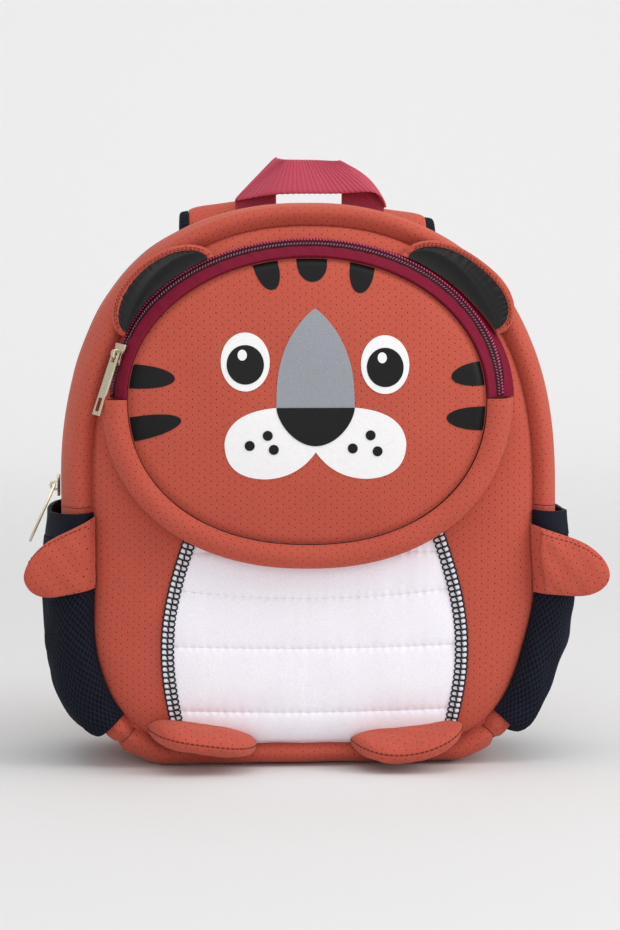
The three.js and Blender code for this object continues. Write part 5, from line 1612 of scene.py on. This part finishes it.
def strapLoop(side, name):  # from the strap's end round the upper bar and back
    x, y, z = adjusterAt
    bar = z + adjuster["length"] / 2 - adjuster["bar"] / 2
    top = strapTail[1] - bag["gap"]
    path = [
        [x, y - 1, top, -1, 0],
        [x, y - wrapY, bar + wrapZ, -1, 0],
        [x, y - wrapY, bar - wrapZ * 0.5, -1, 0],
        [x, y - wrapY * 0.7, bar - wrapZ, -0.7, -0.7],
        [x, y + wrapY * 0.7, bar - wrapZ, 0.7, -0.7],
        [x, y + wrapY, bar - wrapZ * 0.5, 1, 0],
        [x, y + wrapY, bar + wrapZ, 1, 0],
        [x, y + 1, top, 1, 0],
    ]
    return webbingPiece(side, name, path)


def lowerWebbing(side, name):  # from the anchor tab round the bar, with a free tail
    x, y, z = adjusterAt
    low = z - adjuster["length"] / 2
    rise = anchorY + tab["thick"] / 2 + bag["gap"] + webbing["thick"] / 2
    at, height, half = webbing["anchor"], webbing["height"], tab["length"] / 2
    path = [
        [at, rise, height - half, -1, 0],
        [at, rise, height + half, -1, 0],
        [mix(x, at, 0.5), mix(y, rise, 0.55), mix(low, height + half, 0.5), -0.9, 0.4],
        [x, y - wrapY, low, -1, 0],
        [x, y - wrapY, z + wrapZ * 0.5, -1, 0],
        [x, y - wrapY * 0.7, z + wrapZ, -0.7, 0.7],
        [x, y + wrapY * 0.7, z + wrapZ, 0.7, 0.7],
        [x, y + wrapY, z + wrapZ * 0.5, 1, 0],
        [x, y + wrapY, low, 1, 0],
        [x, y + wrapY * 0.9, low - webbing["tail"], 1, 0],
    ]
    return webbingPiece(side, name, path)


def bevelledCopy(node, name, material, width, segments=2):
    # A hard piece keeps the frame's own shape: a merged copy with its edges rounded.
    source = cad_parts[node].data
    mesh = source.copy()
    mesh.name = name
    shape = bmesh.new()
    shape.from_mesh(mesh)
    bmesh.ops.remove_doubles(shape, verts=shape.verts, dist=1e-6)
    bmesh.ops.dissolve_limit(shape, angle_limit=math.radians(1), verts=shape.verts, edges=shape.edges)
    sharp = [e for e in shape.edges if len(e.link_faces) == 2 and e.calc_face_angle() > math.radians(35)]
    rounding = {"offset": width * mm, "segments": segments, "profile": 0.6, "affect": "EDGES"}
    bmesh.ops.bevel(shape, geom=sharp, clamp_overlap=True, **rounding)
    bmesh.ops.triangulate(shape, faces=[f for f in shape.faces if len(f.verts) > 4])
    return meshPiece(name, mesh, shape, material, 40)


for sideName, side in (("left", -1), ("right", 1)):
    pad = settle(strapPad(side, "strap_pad_" + sideName), ["shoulder_strap_" + sideName])
    settle(strapBinding(side, "strap_edge_" + sideName), ["strap_binding_" + sideName])
    settle(strapLoop(side, "adjuster_loop_" + sideName), ["strap_loop_" + sideName])
    settle(lowerWebbing(side, "lower_webbing_" + sideName), ["strap_webbing_" + sideName])
    ladder = bevelledCopy("strap_adjuster_" + sideName, "ladder_lock_" + sideName, navyPlastic, 0.7)
    settle(ladder, ["strap_adjuster_" + sideName])
    anchor = bevelledCopy("strap_anchor_" + sideName, "anchor_tab_" + sideName, coral, 0.8)
    settle(anchor, ["strap_anchor_" + sideName])
print("handle and straps made")

for node, body in (
    ("face_zip_slider", "bag"),
    ("main_zip_slider", "bag"),
    ("face_zip_pull", "face_pull"),
    ("main_zip_pull", "main_pull"),
):
    metal = bevelledCopy(node, node.replace("zip", "zipper"), nickel, 0.28)
    settle(metal, [node], body)
print("zip hardware made")

# Stage, light and camera
studio = {
    "distance": 1500,  # from the camera to the middle of the bag
    "target": (0, 0, 150),
    "azimuth": -4,
    "elevation": 4.5,
    "focal": 2860.6,  # in pixels of the 620 by 930 picture
    "centre": (303.7, 468.3),  # where the target falls, in the same pixels
    "picture": (620, 930),
    "floor": 0xDDDDDD,
    "wall": 0xF6F6F6,
}


def stageFloor():
    # One pale sheet that runs out flat and turns up far behind, in a wide quarter round.
    material, tree, shader = startMaterial("pale_seamless_paper")
    place = addNode(tree, "SeparateXYZ", {0: addNode(tree, "TexCoord").outputs["Object"]})
    back = addNode(tree, "MapRange", {0: place.outputs[1], 1: 0.5, 2: 2.2}, interpolation_type="SMOOTHSTEP")
    twoTone(tree, shader, back, studio["floor"], studio["wall"])
    setSurface(shader, {"Roughness": 0.9, "Specular IOR Level": 0.1})
    x = np.linspace(-6000, 6000, 3)[:, None]
    turn = np.radians(np.linspace(0, 90, 24))
    y = np.concatenate([[-4000, 0], 1800 + 900 * np.sin(turn), [2700]])
    z = np.concatenate([[0, 0], 900 - 900 * np.cos(turn), [5200]])
    top = np.stack(np.broadcast_arrays(x, y[None], z[None]), -1)
    low = top + np.array([0, 6.0, -6.0])
    return wallPiece("paper_sweep", top, low, material, soft=False)


stageFloor()


def addLight(name, place, target, size, power, colour=0xFFFFFF):  # a soft lamp aimed at its target
    lamp = bpy.data.lights.new(name, "AREA")
    lamp.shape = "RECTANGLE"
    lamp.size, lamp.size_y = size
    lamp.energy = power
    lamp.color = linearColour(colour)[:3]
    holder = bpy.data.objects.new(name, lamp)
    holder.location = place
    way = np.array(target, float) - np.array(place, float)
    holder.rotation_euler = Vector(way.tolist()).to_track_quat("-Z", "Y").to_euler()
    bpy.context.scene.collection.objects.link(holder)


addLight("softbox_key", (1.8, -0.7, 1.2), (0, 0, 0.15), (1.3, 1.3), 19)
addLight("softbox_front", (-0.1, -2.4, 0.7), (0, 0, 0.12), (1.6, 1.0), 9)
addLight("softbox_top", (0.1, -0.5, 1.9), (0, 0, 0.15), (2.0, 1.4), 12)
addLight("softbox_wall", (0, 1.4, 2.6), (0, 2.7, 1.0), (3.0, 0.8), 5)

world = bpy.data.worlds.new("studio_white")
bpy.context.scene.world = world
world.use_nodes = True
world.node_tree.nodes["Background"].inputs[0].default_value = (1, 1, 1, 1)
world.node_tree.nodes["Background"].inputs[1].default_value = 0.66
bpy.context.scene.view_settings.view_transform = "Standard"

camera = bpy.data.cameras.new("camera")
camera.sensor_width = 36
camera.lens = studio["focal"] / studio["picture"][1] * camera.sensor_width
camera.shift_x = (studio["picture"][0] / 2 - studio["centre"][0]) / studio["picture"][1]
camera.shift_y = (studio["centre"][1] - studio["picture"][1] / 2) / studio["picture"][1]
camera.clip_end = 20
cameraObject = bpy.data.objects.new("camera", camera)
turn, rise = math.radians(studio["azimuth"]), math.radians(studio["elevation"])
back = np.array([math.sin(turn) * math.cos(rise), -math.cos(turn) * math.cos(rise), math.sin(rise)])
cameraObject.location = (np.array(studio["target"]) + back * studio["distance"]) * mm
cameraObject.rotation_euler = Vector((-back).tolist()).to_track_quat("-Z", "Y").to_euler()
bpy.context.scene.collection.objects.link(cameraObject)
bpy.context.scene.camera = cameraObject
print("studio made")
